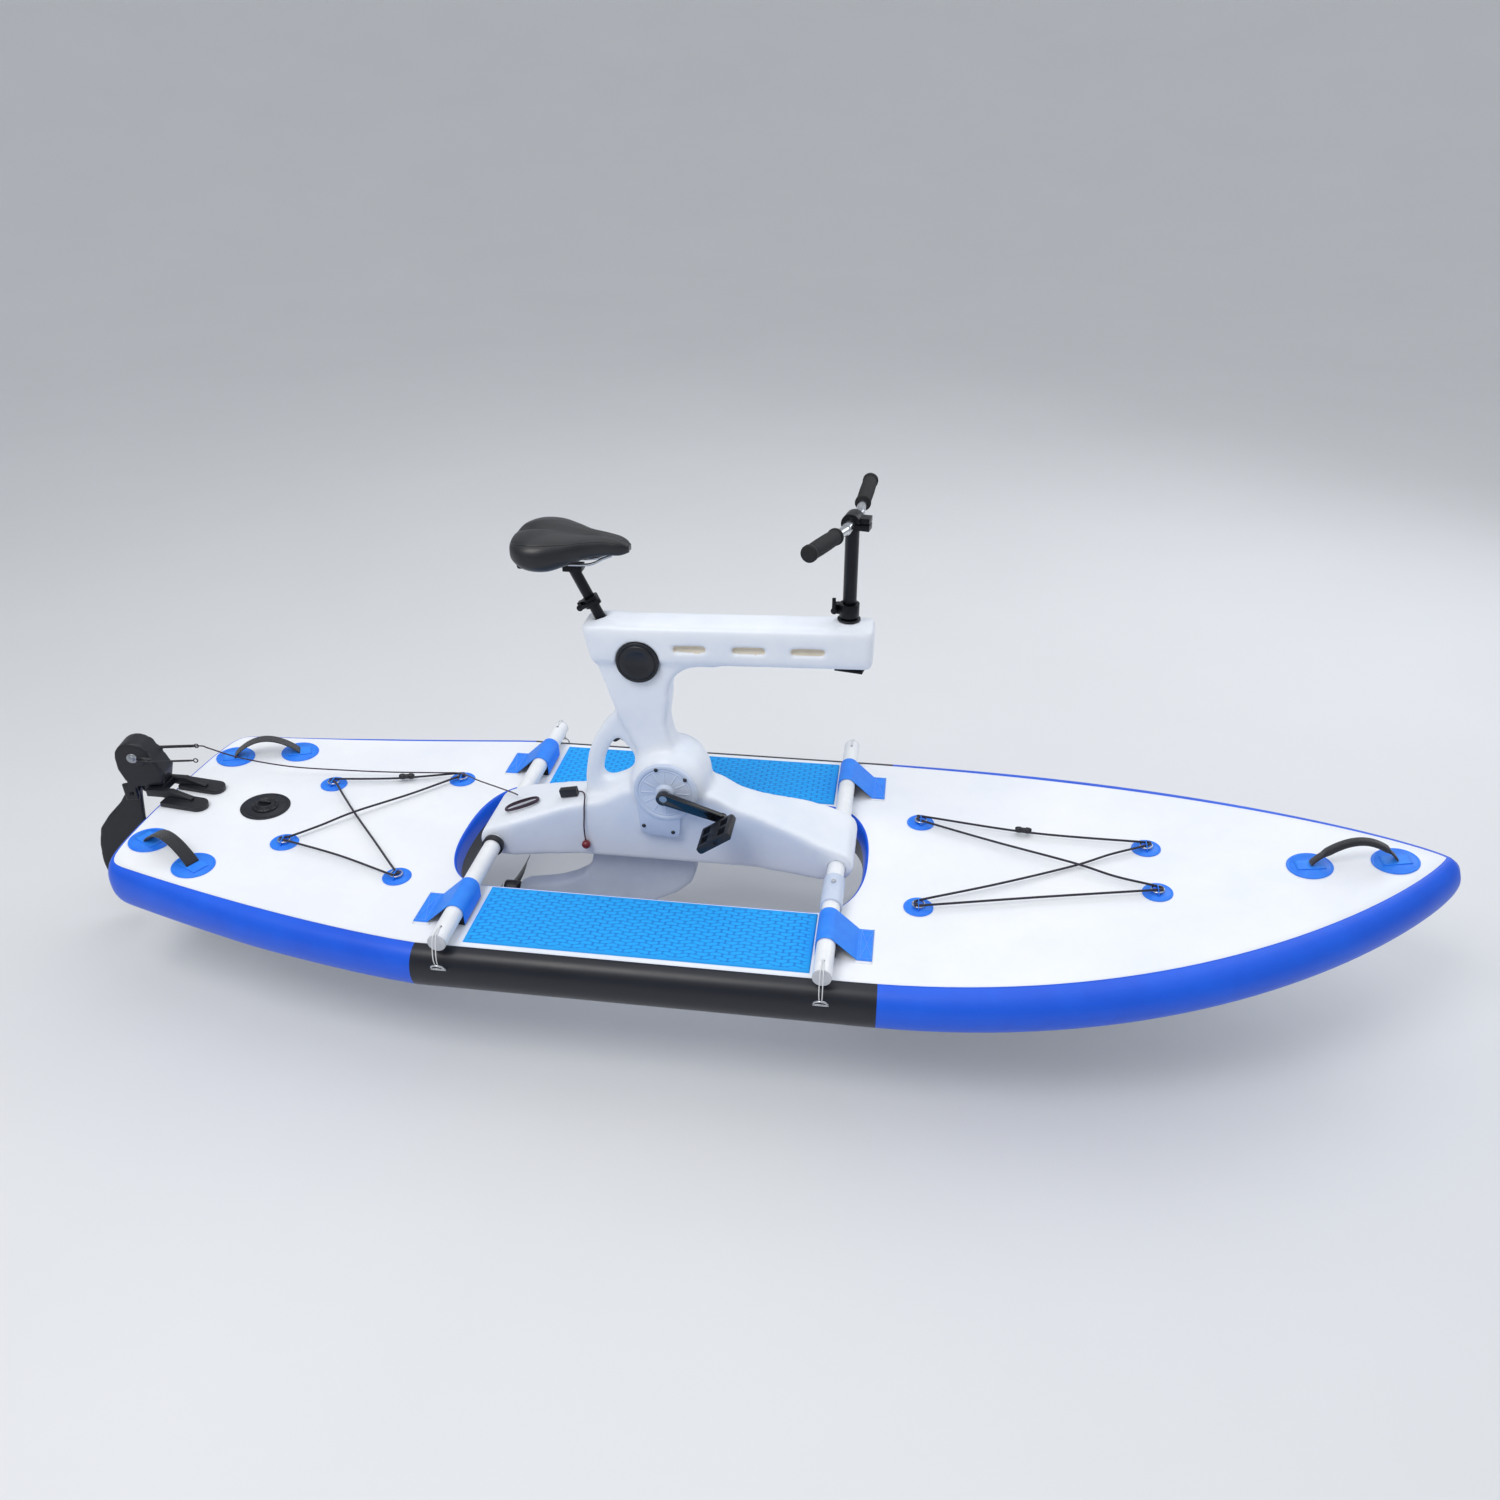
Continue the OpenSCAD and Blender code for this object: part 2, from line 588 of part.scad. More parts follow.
// ---- bevel gears: every tooth tapers to the apex where the two axes meet
function bevel_section(n, cone, ru, up, down, fat, k) = let (
    ap = ru / sin(cone),
    root = [ru - down * cos(cone), ap * cos(cone) + down * sin(cone)],
    tip = [ru + up * cos(cone), ap * cos(cone) - up * sin(cone)],
    wr = 90 / n * fat * 1.25,
    wt = 90 / n * fat * 0.62) [for (q = [[root, -wr], [tip, -wt], [tip, wt], [root, wr]])
        k * [q[0][0] * cos(q[1]), q[0][0] * sin(q[1]), q[0][1]]];
module bevel_teeth(n, cone, ru, up, down, fat, k, turn) {
    for (i = [0 : n - 1])
        rotate([0, 0, turn + 360 * i / n]) polyhedron(
            concat(bevel_section(n, cone, ru, up, down, fat, 1), bevel_section(n, cone, ru, up, down, fat, k)),
            [[3, 2, 1, 0], [4, 5, 6, 7], [1, 5, 4, 0], [2, 6, 5, 1], [3, 7, 6, 2], [0, 4, 7, 3]]);
}
gear_module = 2;
crown_ru = crown_n * gear_module / 2;
pinion_ru = pinion_n * gear_module / 2;
pinion_cone = atan(pinion_n / crown_n);
crown_cone = 90 - pinion_cone;
face_k = 0.78;
tooth_up = 1.6;
tooth_down = 2.7;
tooth_fat = 0.6;
// a gear blank under the teeth: a cone frustum on the root surface, with a back plate and a hub
module blank(cone, ru, down, k, back, bore) {
    r1 = ru - (down - 0.6) * cos(cone);
    z1 = ru / tan(cone) + (down - 0.6) * sin(cone);
    difference() {
        union() {
            translate([0, 0, k * z1]) cylinder(r1 = k * r1, r2 = r1, h = (1 - k) * z1);
            translate([0, 0, z1 - eps]) cylinder(r = r1, h = back);
        }
        translate([0, 0, -1]) cylinder(r = bore, h = 200);
    }
}
crown_back = 14;
module crown_gear() {
    color(steel) translate([axle_x, 0, axle_z]) rotate([-90, 0, 0]) {
        bevel_teeth(crown_n, crown_cone, crown_ru, tooth_up, tooth_down, tooth_fat, face_k, 90 + shaft_a);
        blank(crown_cone, crown_ru, tooth_down, face_k, 6, axle_r);
        difference() {
            translate([0, 0, crown_back]) cylinder(r = 20, h = 30);
            cylinder(r = axle_r, h = 60);
        }
    }
}
module pinion() {
    color(steel) along_shaft() translate([0, 0, shaft_len]) rotate([180, 0, 0]) {
        bevel_teeth(pinion_n, pinion_cone, pinion_ru, tooth_up, tooth_down, tooth_fat, face_k, 90 + 180 / pinion_n);
        blank(pinion_cone, pinion_ru, tooth_down, face_k, 6, shaft_r);
    }
}
leg_cone_sum = 90 + shaft_a;
leg_gear_n = 24;
prop_gear_n = 16;
leg_module = 1.8;
leg_ratio = leg_gear_n / prop_gear_n;
prop_cone = atan(sin(leg_cone_sum) / (leg_ratio + cos(leg_cone_sum)));
leg_cone = leg_cone_sum - prop_cone;
leg_up = 1.4;
leg_down = 2.1;
module leg_gear() {
    color(steel) along_shaft() {
        bevel_teeth(leg_gear_n, leg_cone, leg_gear_n * leg_module / 2, leg_up, leg_down, tooth_fat, 0.7, 180);
        blank(leg_cone, leg_gear_n * leg_module / 2, leg_down, 0.7, 4, shaft_r);
    }
}
module prop_gear() {
    color(steel) translate([low_x, 0, low_z]) rotate([0, -90, 0]) {
        bevel_teeth(prop_gear_n, prop_cone, prop_gear_n * leg_module / 2, leg_up, leg_down, tooth_fat, 0.7,
            180 / prop_gear_n);
        blank(prop_cone, prop_gear_n * leg_module / 2, leg_down, 0.7, 6, prop_shaft_r);
    }
}
shaft_low = 8;
shaft_high = 56;
module drive_shaft() {
    color(steel) along_shaft() translate([0, 0, shaft_low]) cylinder(r = shaft_r, h = shaft_len - shaft_high - shaft_low);
}
bearing_h = 12;
module leg_bearings() {
    color(steel) {
        along_shaft() for (z = [60, shaft_len - 92])
            difference() {
                translate([0, 0, z]) cylinder(r = tunnel_r - 0.05, h = bearing_h);
                translate([0, 0, z - 1]) cylinder(r = shaft_r + 0.05, h = bearing_h + 2);
            }
        for (x = [-160, -434])
            translate([x, 0, low_z]) rotate([0, -90, 0]) difference() {
                cylinder(r = prop_bearing_r - 0.05, h = bearing_h);
                translate([0, 0, -1]) cylinder(r = prop_shaft_r + 0.05, h = bearing_h + 2);
            }
    }
}

// ---- cranks and pedals; the port crank is half a turn on
module crank_arm(s, a) {
    y0 = s > 0 ? arm_y : -arm_y - arm_t;
    color(black) difference() {
        translate([axle_x, 0, axle_z]) rotate([0, a, 0]) {
            across(0, 0, 19, y0, y0 + arm_t);
            across(crank_l, 0, 14, y0, y0 + arm_t);
            rotate([90, 0, 0]) translate([0, 0, -y0 - arm_t]) linear_extrude(arm_t)
                polygon([[0, 17], [crank_l, 12], [crank_l, -12], [0, -17]]);
        }
        across(axle_x, axle_z, axle_r, -200, 200);
        translate([axle_x, 0, axle_z]) rotate([0, a, 0]) across(crank_l, 0, 5.05, -200, 200);
    }
}
pedal_y0 = 136;
pedal_y1 = 222;
pedal_half = 50;
pedal_tilt = 35;
module pedal(s, a) {
    px = axle_x + crank_l * cos(a);
    pz = axle_z - crank_l * sin(a);
    y0 = s > 0 ? pedal_y0 : -pedal_y1;
    color(black) {
        across(px, pz, 5, s > 0 ? arm_y + 2 : -pedal_y1 + 4, s > 0 ? pedal_y1 - 4 : -arm_y - 2);
        translate([px, 0, pz]) rotate([0, -pedal_tilt, 0]) difference() {
            translate([-4, y0, 0]) rotate([-90, 0, 0]) linear_extrude(pedal_y1 - pedal_y0)
                offset_box(2 * pedal_half, 22, 8);
            for (d = [-1, 1])
                for (e = [-1, 1])
                    translate([d * 27 - 4, y0 + 43 + e * 20, 0]) cube([22, 30, 40], center = true);
            across(0, 0, 5, -300, 300);
        }
    }
}

// ---- propeller leg
leg_half = 29;
tube_axis_r = 31;
leg_top = body_low - 0.2;
leg_tail = -448;
leg_points = concat(
    [[-212, leg_top], [-224, 50], [-242, 16]],
    [[-280, -8], [-330, -28], [-400, -42], [-430, low_z + 31]],
    [[-430, low_z - 31], [-200, low_z - 31]],
    [[-110, low_z - 30], [-50, -64], [20, -26], [60, 12], [73, 50], [71, leg_top]]);
gear_room_r = 24;
module leg_housing() {
    color(shade) difference() {
        union() {
            side_slab(leg_points, leg_half);
            translate([-150, 0, low_z]) rotate([0, -90, 0]) cylinder(r = tube_axis_r, h = -150 - leg_tail);
            translate([-150, 0, low_z]) rotate([0, 90, 0]) cylinder(r1 = tube_axis_r, r2 = 24, h = 90);
        }
        along_shaft() {
            translate([0, 0, 20]) cylinder(r = tunnel_r, h = 210);
            translate([0, 0, -6]) cylinder(r = gear_room_r, h = 27);
        }
        translate([low_x, 0, low_z]) rotate([0, -90, 0]) cylinder(r = prop_bearing_r, h = 400);
    }
}
prop_shaft_r = 6.5;
prop_bearing_r = 17;
prop_x = -474;
prop_hub_r = 23;
prop_shaft_end = 30;
module prop_shaft() {
    color(steel) translate([low_x - 16, 0, low_z]) rotate([0, -90, 0])
        cylinder(r = prop_shaft_r, h = low_x - 16 - prop_x + prop_shaft_end);
}
// one blade: a twisted plate from the hub to the tip, as stations along its span
blade_stations = 9;
function blade_ring(i) = let (f = i / (blade_stations - 1), r = 18 + (prop_r - 18) * f,
    chord = 30 + 26 * sin(180 * pow(f, 0.8)) - 16 * f * f, pitch = 62 - 44 * pow(f, 0.7), th = 7 - 5 * f,
    c = cos(pitch), s = sin(pitch)) [for (q = [[-0.5, 0], [-0.2, -0.5], [0.25, -0.45], [0.5, 0], [0.25, 0.45],
        [-0.2, 0.5]]) [q[0] * chord * s - q[1] * th * c, r, q[0] * chord * c + q[1] * th * s]];
module blade() {
    m = 6;
    pts = [for (i = [0 : blade_stations - 1]) each blade_ring(i)];
    walls = [for (i = [0 : blade_stations - 2]) for (j = [0 : m - 1])
        let (a = i * m + j, b = i * m + (j + 1) % m, c = b + m, e = a + m) each [[a, b, c], [a, c, e]]];
    caps = [[for (j = [m - 1 : -1 : 0]) j], [for (j = [0 : m - 1]) (blade_stations - 1) * m + j]];
    polyhedron(pts, concat(walls, caps));
}
module propeller() {
    color(black) translate([prop_x, 0, low_z]) difference() {
        union() {
            rotate([0, 90, 0]) cylinder(r = prop_hub_r, h = 44, center = true);
            blade();
            rotate([180, 0, 0]) blade();
        }
        rotate([0, 90, 0]) cylinder(r = prop_shaft_r, h = 60, center = true);
    }
}
module prop_nut() {
    color(steel) translate([prop_x - 22.2, 0, low_z]) rotate([0, -90, 0]) difference() {
        union() {
            cylinder(r = 12, h = 9, $fn = 6);
            translate([0, 0, 9]) cylinder(r1 = 9, r2 = 5, h = 7);
        }
        translate([0, 0, -1]) cylinder(r = prop_shaft_r, h = 12);
    }
}

// ---- seat: clamp, post and saddle share the post's leaning axis
module on_post() {
    translate([seat_x, 0, seat_z]) rotate([0, -seat_lean, 0]) children();
}
clamp_z = 34;
module seat_clamp() {
    color(black) on_post() difference() {
        union() {
            translate([0, 0, clamp_z]) cylinder(r = 21, h = 24);
            translate([-34, -9, clamp_z + 2]) cube([20, 18, 20]);
        }
        translate([0, 0, clamp_z - 1]) cylinder(r = post_r + 0.05, h = 30);
        translate([-40, -1.5, clamp_z - 1]) cube([30, 3, 30]);
        translate([-27, 0, clamp_z + 12]) rotate([90, 0, 0]) cylinder(r = 3.05, h = 60, center = true);
    }
}
module seat_lever() {
    color(black) on_post() translate([-27, 0, clamp_z + 12]) {
        rotate([90, 0, 0]) cylinder(r = 3, h = 46, center = true);
        translate([0, -17, 0]) rotate([90, 0, 0]) cylinder(r = 8, h = 13, center = true);
        translate([-3, -26.5, -4]) cube([62, 5, 8]);
        translate([0, 16, 0]) rotate([90, 0, 0]) cylinder(r = 8, h = 11, center = true);
    }
}
post_top = 138;
post_low = -150;
module seat_post() {
    color(black) on_post() {
        translate([0, 0, post_low]) cylinder(r = post_r, h = post_top - post_low);
        translate([0, 0, post_top - 2]) rotate([0, seat_lean, 0]) translate([-24, -16, -2]) cube([48, 32, 16]);
    }
}
rail_y = 20;
module saddle_rails() {
    color(steel) for (s = [-1, 1]) {
        p = [[-108, 9 * s, 957], [-130, 12 * s, 949], [-165, rail_y * s, 936], [-240, rail_y * s, 934],
            [-285, 30 * s, 940], [-312, 46 * s, 956]];
        cord(open_curve(p, 3), 7, false, [0, 0, 1], 10);
    }
}
// saddle shell: stations from tail to nose, each with a half width, a top and a bottom
saddle_st = [[-344, 50, 1000, 962], [-330, 92, 1014, 944], [-296, 116, 1025, 924], [-250, 114, 1026, 918],
    [-205, 88, 1018, 936], [-165, 56, 1012, 950], [-120, 36, 1008, 956], [-85, 28, 1000, 956], [-64, 15, 987, 964]];
function saddle_ring(q) = [for (a = [0 : 30 : 330]) let (m = (q[2] + q[3]) / 2, h = (q[2] - q[3]) / 2)
    [q[0], q[1] * cos(a), m + h * sign(sin(a)) * pow(abs(sin(a)), 0.7)]];
module saddle() {
    m = 12;
    n = len(saddle_st);
    pts = [for (q = saddle_st) each saddle_ring(q)];
    walls = [for (i = [0 : n - 2]) for (j = [0 : m - 1])
        let (a = i * m + j, b = i * m + (j + 1) % m, c = b + m, e = a + m) each [[a, c, b], [a, e, c]]];
    caps = [[for (j = [0 : m - 1]) j], [for (j = [m - 1 : -1 : 0]) (n - 1) * m + j]];
    color(black) difference() {
        polyhedron(pts, concat(walls, caps));
        // hollow underside for the rails and the post's head
        translate([-322, -62, 880]) cube([222, 124, 84]);
    }
}

// ---- steering: column in the beam, riser in the column, bar on the riser
column_low = 690;
column_high = 862;
column_r = 20;
riser_r = 16.5;
bar_z = 1064;
bar_rise = 4;
module steered() {
    translate([column_x, 0, 0]) rotate([0, 0, -steer_rest]) children();
}
module column() {
    color(black) steered() difference() {
        union() {
            translate([0, 0, column_low]) cylinder(r = column_r, h = column_high - column_low - 26);
            translate([0, 0, column_high - 32]) cylinder(r = 24, h = 32);
            translate([-40, -9, column_high - 28]) cube([22, 18, 24]);
            // steering arm below the beam
            translate([-26, -24, column_low]) cube([70, 48, 6]);
        }
        translate([0, 0, column_low - 1]) cylinder(r = riser_r + 0.05, h = 240);
        translate([-50, -1.5, column_high - 36]) cube([40, 3, 50]);
        translate([-32, 0, column_high - 16]) rotate([90, 0, 0]) cylinder(r = 3.05, h = 60, center = true);
    }
}
// flanged bushes at the beam's underside and at the boss's top
bush_h = 16;
bush_flange = 4;
module column_bush(z, d) {
    translate([column_x, 0, z]) difference() {
        union() {
            translate([0, 0, d > 0 ? -bush_h : 0]) cylinder(r = column_bore, h = bush_h);
            translate([0, 0, d > 0 ? 0 : -bush_flange]) cylinder(r = column_bore + 5, h = bush_flange);
        }
        translate([0, 0, -20]) cylinder(r = column_r + 0.05, h = 40);
    }
}
module column_bushes() {
    color(black) {
        column_bush(701.8, -1);
        column_bush(820, 1);
    }
}
module column_lever() {
    color(black) steered() translate([-32, 0, column_high - 16]) {
        rotate([90, 0, 0]) cylinder(r = 3, h = 46, center = true);
        translate([0, -17, 0]) rotate([90, 0, 0]) cylinder(r = 8, h = 13, center = true);
        translate([-4, -27, 0]) cube([8, 6, 34]);
        translate([0, 16, 0]) rotate([90, 0, 0]) cylinder(r = 8, h = 11, center = true);
    }
}
riser_low = 696;
module riser() {
    color(black) steered() difference() {
        union() {
            translate([0, 0, riser_low]) cylinder(r = riser_r, h = bar_z - riser_low);
            rotate([90, 0, 0]) translate([0, bar_z, 0]) cylinder(r = 23, h = 42, center = true);
            translate([0, -15, bar_z - 16]) cube([42, 30, 30]);
        }
        translate([0, 0, 0]) rotate([90, 0, 0]) translate([0, bar_z, 0]) cylinder(r = 12.7, h = 60, center = true);
        translate([-4, -30, bar_z - 1.5]) cube([60, 60, 3]);
    }
}
bar_r = 11.1;
grip_l = 145;
grip_r = 17;
module on_bar_half(s) {
    translate([0, s * 60, bar_z]) rotate([0, 0, s * bar_sweep]) rotate([-s * (90 - bar_rise), 0, 0]) children();
}
module handlebar() {
    color(steel) steered() {
        translate([0, 0, bar_z]) rotate([90, 0, 0]) cylinder(r = 12.7, h = 124, center = true);
        for (s = [-1, 1])
            on_bar_half(s) cylinder(r = bar_r, h = bar_half_w - 62);
    }
}
module grips() {
    color(black) steered() for (s = [-1, 1])
        on_bar_half(s) translate([0, 0, bar_half_w - 62 - grip_l]) difference() {
                union() {
                    cylinder(r = grip_r, h = grip_l + 6);
                    cylinder(r = grip_r + 3, h = 5);
                    translate([0, 0, grip_l - 2]) cylinder(r = grip_r + 3, h = 8);
                }
                translate([0, 0, -1]) cylinder(r = bar_r, h = grip_l + 1);
            }
}

// ---- rudder: bracket on the stern deck, head that turns, blade that kicks up
pin_r = 6;
bracket_z = 178;
bracket_t = 22;
lobe_x0 = -1462;
lobe_x1 = -1336;
lobe_y = 46;
module rudder_bracket() {
    color(black) difference() {
        union() {
            // two lobes that lie on the deck
            for (s = [-1, 1]) {
                on_deck(-1400, s * lobe_y, 1.5) {
                    translate([lobe_x0 + 1400, -27, 0]) cube([lobe_x1 - lobe_x0 - 27, 54, 14]);
                    translate([lobe_x1 + 1373, 0, 0]) cylinder(r = 27, h = 14);
                }
                translate([0, s * lobe_y - s * 9, 0]) side_slab([[-1516, bracket_z], [-1516, bracket_z + bracket_t],
                    [-1440, bracket_z + bracket_t], [-1380, 178], [-1392, 160], [-1470, bracket_z]], 9);
            }
            // cross plate with the pin's hole
            translate([-1516, -46, bracket_z]) cube([40, 92, bracket_t]);
            translate([-rudder_x, 0, bracket_z]) cylinder(r = 24, h = bracket_t);
            translate([-rudder_x, -24, bracket_z]) cube([30, 48, bracket_t]);
        }
        translate([-rudder_x, 0, bracket_z - 5]) cylinder(r = pin_r + 0.05, h = 60);
    }
}
module turned_rudder() {
    translate([-rudder_x, 0, 0]) rotate([0, 0, steer_rest]) children();
}
rod_y = 42;
rod_z = 288;
kick_x = -44;
kick_r = 5;
fork_gap = 19;
module rudder_head() {
    head_foot = bracket_z + bracket_t + 2;
    color(black) turned_rudder() difference() {
        union() {
            // hood over the bracket, with a round top
            side_slab(concat([[-42, head_foot], [52, head_foot], [64, 240], [40, 300]],
                arc([-12, 296], 48, 10, 175, 8), [[-62, 262], [-50, 225]]), 34);
            // fork that reaches down behind the bracket and holds the blade's bolt
            for (s = [-1, 1])
                translate([0, s * (fork_gap + 7), 0]) side_slab([[-66, 156], [-66, head_foot + 10], [-27, head_foot + 10],
                    [-27, 156]], 7);
            translate([0, 0, bracket_z - 8]) cylinder(r = pin_r, h = 70);
            for (s = [-1, 1])
                translate([10, s * rod_y, rod_z]) rotate([0, 90, 0]) cylinder(r = 5, h = s > 0 ? 124 : 152);
            translate([4, -rod_y - 8, rod_z - 8]) cube([22, 2 * rod_y + 16, 16]);
        }
        translate([kick_x, 0, kick_z]) rotate([90, 0, 0]) cylinder(r = kick_r + 0.05, h = 100, center = true);
    }
}
// blade: a leaf hung behind the transom, its outline from the kick-up bolt
blade_half = 9;
blade_outline = concat(
    [[14, -8], [10, 12], [-8, 18], [-22, 4], [-58, -46], [-102, -88]],
    [[-138, -132], [-156, -190], [-163, -252], [-158, -300], [-142, -344], [-114, -378], [-84, -390]],
    [[-56, -376], [-32, -322], [-16, -256], [-6, -178], [0, -90]]);
module rudder_blade() {
    color(black) turned_rudder() translate([kick_x, 0, kick_z]) {
        side_slab(blade_outline, blade_half);
        rotate([90, 0, 0]) cylinder(r = kick_r, h = 2 * fork_gap + 36, center = true);
        rotate([90, 0, 0]) cylinder(r = 15, h = 2 * fork_gap - 1, center = true);
    }
}
// rudder line: from a rod's tip, past the port handle and ring, to the frame's top
line_d = 4;
line_route = [[-1384, 72, 286], [-1372, 78, 276], [-1300, 112, 228], [-1180, 154, 184], [-1040, 192, 160],
    [-900, 220, 147], [-760, 238, 145], [-690, 240, 147], [-600, 160, 178], [-510, 80, 212], [-445, 20, 238],
    [-425, 2, 244]];
module rudder_line() {
    color(black) cord(open_curve(line_route, 4), line_d);
}
// spare line wound in an oval on the frame's top
coil_x = -402;
coil_z = 233;
module line_coil() {
    color(black) translate([coil_x, -30, coil_z]) rotate([0, -17, 14]) linear_extrude(8) difference() {
        flat_oval(52, 23);
        flat_oval(42, 13);
    }
}
// a flat oval with half-round ends
module flat_oval(half_l, half_w) {
    for (x = [-1, 1])
        translate([x * (half_l - half_w), 0]) circle(r = half_w);
    square([2 * (half_l - half_w), 2 * half_w], center = true);
}
tail_route = [[-242, -18, 283], [-232, -24, 287], [-222, -38, 291], [-216, -54, 291], [-214, -66, 284],
    [-215, -71, 268], [-217, -72, 240], [-219, -75, 210], [-218, -78, 182], [-216, -79.2, 166]];
module line_tail() {
    color(black) cord(open_curve(tail_route, 4), line_d);
}
module line_ball() {
    color([0.4, 0.05, 0.08]) translate(tail_route[len(tail_route) - 1] - [0, 0, 12]) sphere(r = 12.4);
}

board_hull();
valve();
pad(1);  // deck_pad_port
pad(-1);  // deck_pad_starboard
bungee_rings();
bungee(aft_corners, 1, -850);  // bungee_aft
bungee(fore_corners, -1, 960);  // bungee_fore
handle_patches();
bow_handle();
stern_handles();
cross_tube(-tube_x);  // rear_tube
cross_tube(tube_x);  // front_tube
tube_caps();
tube_cradles();
tube_straps();
tie_rings();
tie_loops();
tube_collar();
lock_sleeve();
lock_button();
frame_body();
access_caps();
cleat();
gear_cover(1);  // gear_cover_port
gear_cover(-1);  // gear_cover_starboard
cover_screws();
crank_bearings();
crank_axle();
crown_gear();
crank_arm(-1, crank_a);  // crank_starboard
crank_arm(1, crank_a + 180);  // crank_port
pedal(-1, crank_a);  // pedal_starboard
pedal(1, crank_a + 180);  // pedal_port
drive_shaft();
pinion();
leg_bearings();
leg_housing();
leg_gear();
prop_gear();
prop_shaft();
propeller();
prop_nut();
seat_clamp();
seat_lever();
seat_post();
saddle_rails();
saddle();
column();
column_bushes();
column_lever();
riser();
handlebar();
grips();
rudder_bracket();
rudder_head();
rudder_blade();
rudder_line();
line_coil();
line_tail();
line_ball();
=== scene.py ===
"""Looks of the pedal boat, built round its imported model: board skin, soft goods, rounded mouldings and materials."""

import math

import bmesh
import bpy
import numpy as np
from mathutils import Matrix, Vector


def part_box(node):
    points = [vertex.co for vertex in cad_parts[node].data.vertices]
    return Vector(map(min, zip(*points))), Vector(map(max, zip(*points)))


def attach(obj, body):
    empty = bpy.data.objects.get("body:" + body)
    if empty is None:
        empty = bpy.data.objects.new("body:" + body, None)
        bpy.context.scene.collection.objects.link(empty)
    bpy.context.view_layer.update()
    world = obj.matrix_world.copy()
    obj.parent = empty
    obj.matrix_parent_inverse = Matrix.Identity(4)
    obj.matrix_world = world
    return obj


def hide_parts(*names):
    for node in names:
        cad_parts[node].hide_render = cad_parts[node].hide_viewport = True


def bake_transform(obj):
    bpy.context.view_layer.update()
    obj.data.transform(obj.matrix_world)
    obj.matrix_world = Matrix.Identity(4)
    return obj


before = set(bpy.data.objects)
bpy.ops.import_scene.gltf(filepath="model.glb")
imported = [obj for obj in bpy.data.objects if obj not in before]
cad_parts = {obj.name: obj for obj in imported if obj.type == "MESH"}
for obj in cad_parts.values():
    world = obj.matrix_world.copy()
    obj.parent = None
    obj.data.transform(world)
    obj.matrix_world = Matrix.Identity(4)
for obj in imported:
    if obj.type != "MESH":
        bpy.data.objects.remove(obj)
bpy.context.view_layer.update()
MM = 0.001
MERGE_WITHIN = 2e-5
FLAT_WITHIN, BEVEL_FROM, SHARP_FROM = math.radians(1.5), math.radians(35), math.radians(38)
PULL_IN, PUSH_OUT = 0.62, 0.42
Y_AXIS = np.array([0.0, 1.0, 0.0])


# ---------------------------------------------------------------- camera
def make_camera():
    """A 27.7 mm lens on a 36 mm sensor, above and ahead of the starboard side."""
    lens = bpy.data.cameras.new("camera")
    lens.lens = 27.668
    lens.sensor_width = 36
    eye = bpy.data.objects.new("camera", lens)
    right = Vector((0.98997652, 0.14108354, -0.00647557))
    down = Vector((0.06583109, -0.50152755, -0.8626334))
    ahead = Vector((-0.12495105, 0.85356051, -0.50578818))
    turn = Matrix((right, -down, -ahead)).transposed()
    eye.matrix_world = Matrix.Translation((0.59625, -2.55363, 1.95073)) @ turn.to_4x4()
    bpy.context.scene.collection.objects.link(eye)
    bpy.context.scene.camera = eye


make_camera()


# ---------------------------------------------------------------- mesh tools
def spline(points, steps, closed=False):
    """A Catmull-Rom curve: each span is the cubic through its two ends with the neighbours' chord as slope."""
    p = np.asarray(points, float)
    n = len(p)
    spans = n if closed else n - 1
    k = np.arange(spans)[:, None]
    t = (np.arange(steps) / steps)[None, :, None]
    pick = (lambda i: p[i % n]) if closed else (lambda i: p[np.clip(i, 0, n - 1)])
    a, b, c, d = (pick(k + o) for o in (-1, 0, 1, 2))
    curve = 0.5 * (2 * b + (c - a) * t + (2 * a - 5 * b + 4 * c - d) * t**2 + (3 * b - a - 3 * c + d) * t**3)
    curve = curve.reshape(-1, p.shape[1])
    return curve if closed else np.vstack([curve, p[-1:]])


def unit(v):
    """Vectors scaled to a length of one."""
    return v / np.maximum(np.linalg.norm(v, axis=-1, keepdims=True), 1e-12)


def place(name, mesh, looks):
    """Shades a finished mesh smoothly, gives it its materials and puts it in the scene."""
    for look in looks if isinstance(looks, (list, tuple)) else [looks]:
        mesh.materials.append(look)
    mesh.polygons.foreach_set("use_smooth", np.ones(len(mesh.polygons), bool))
    piece = bpy.data.objects.new(name, mesh)
    bpy.context.scene.collection.objects.link(piece)
    return piece


def put(name, mesh, looks, body, replaces=()):
    """Places a piece and makes it ride on its body."""
    piece = place(name, mesh, looks)
    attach(piece, body)
    if replaces:
        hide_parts(*([replaces] if isinstance(replaces, str) else replaces))
    return piece


def face_out(mesh):
    """Turns a closed mesh's faces outwards."""
    work = bmesh.new()
    work.from_mesh(mesh)
    bmesh.ops.recalc_face_normals(work, faces=work.faces)
    work.to_mesh(mesh)
    work.free()


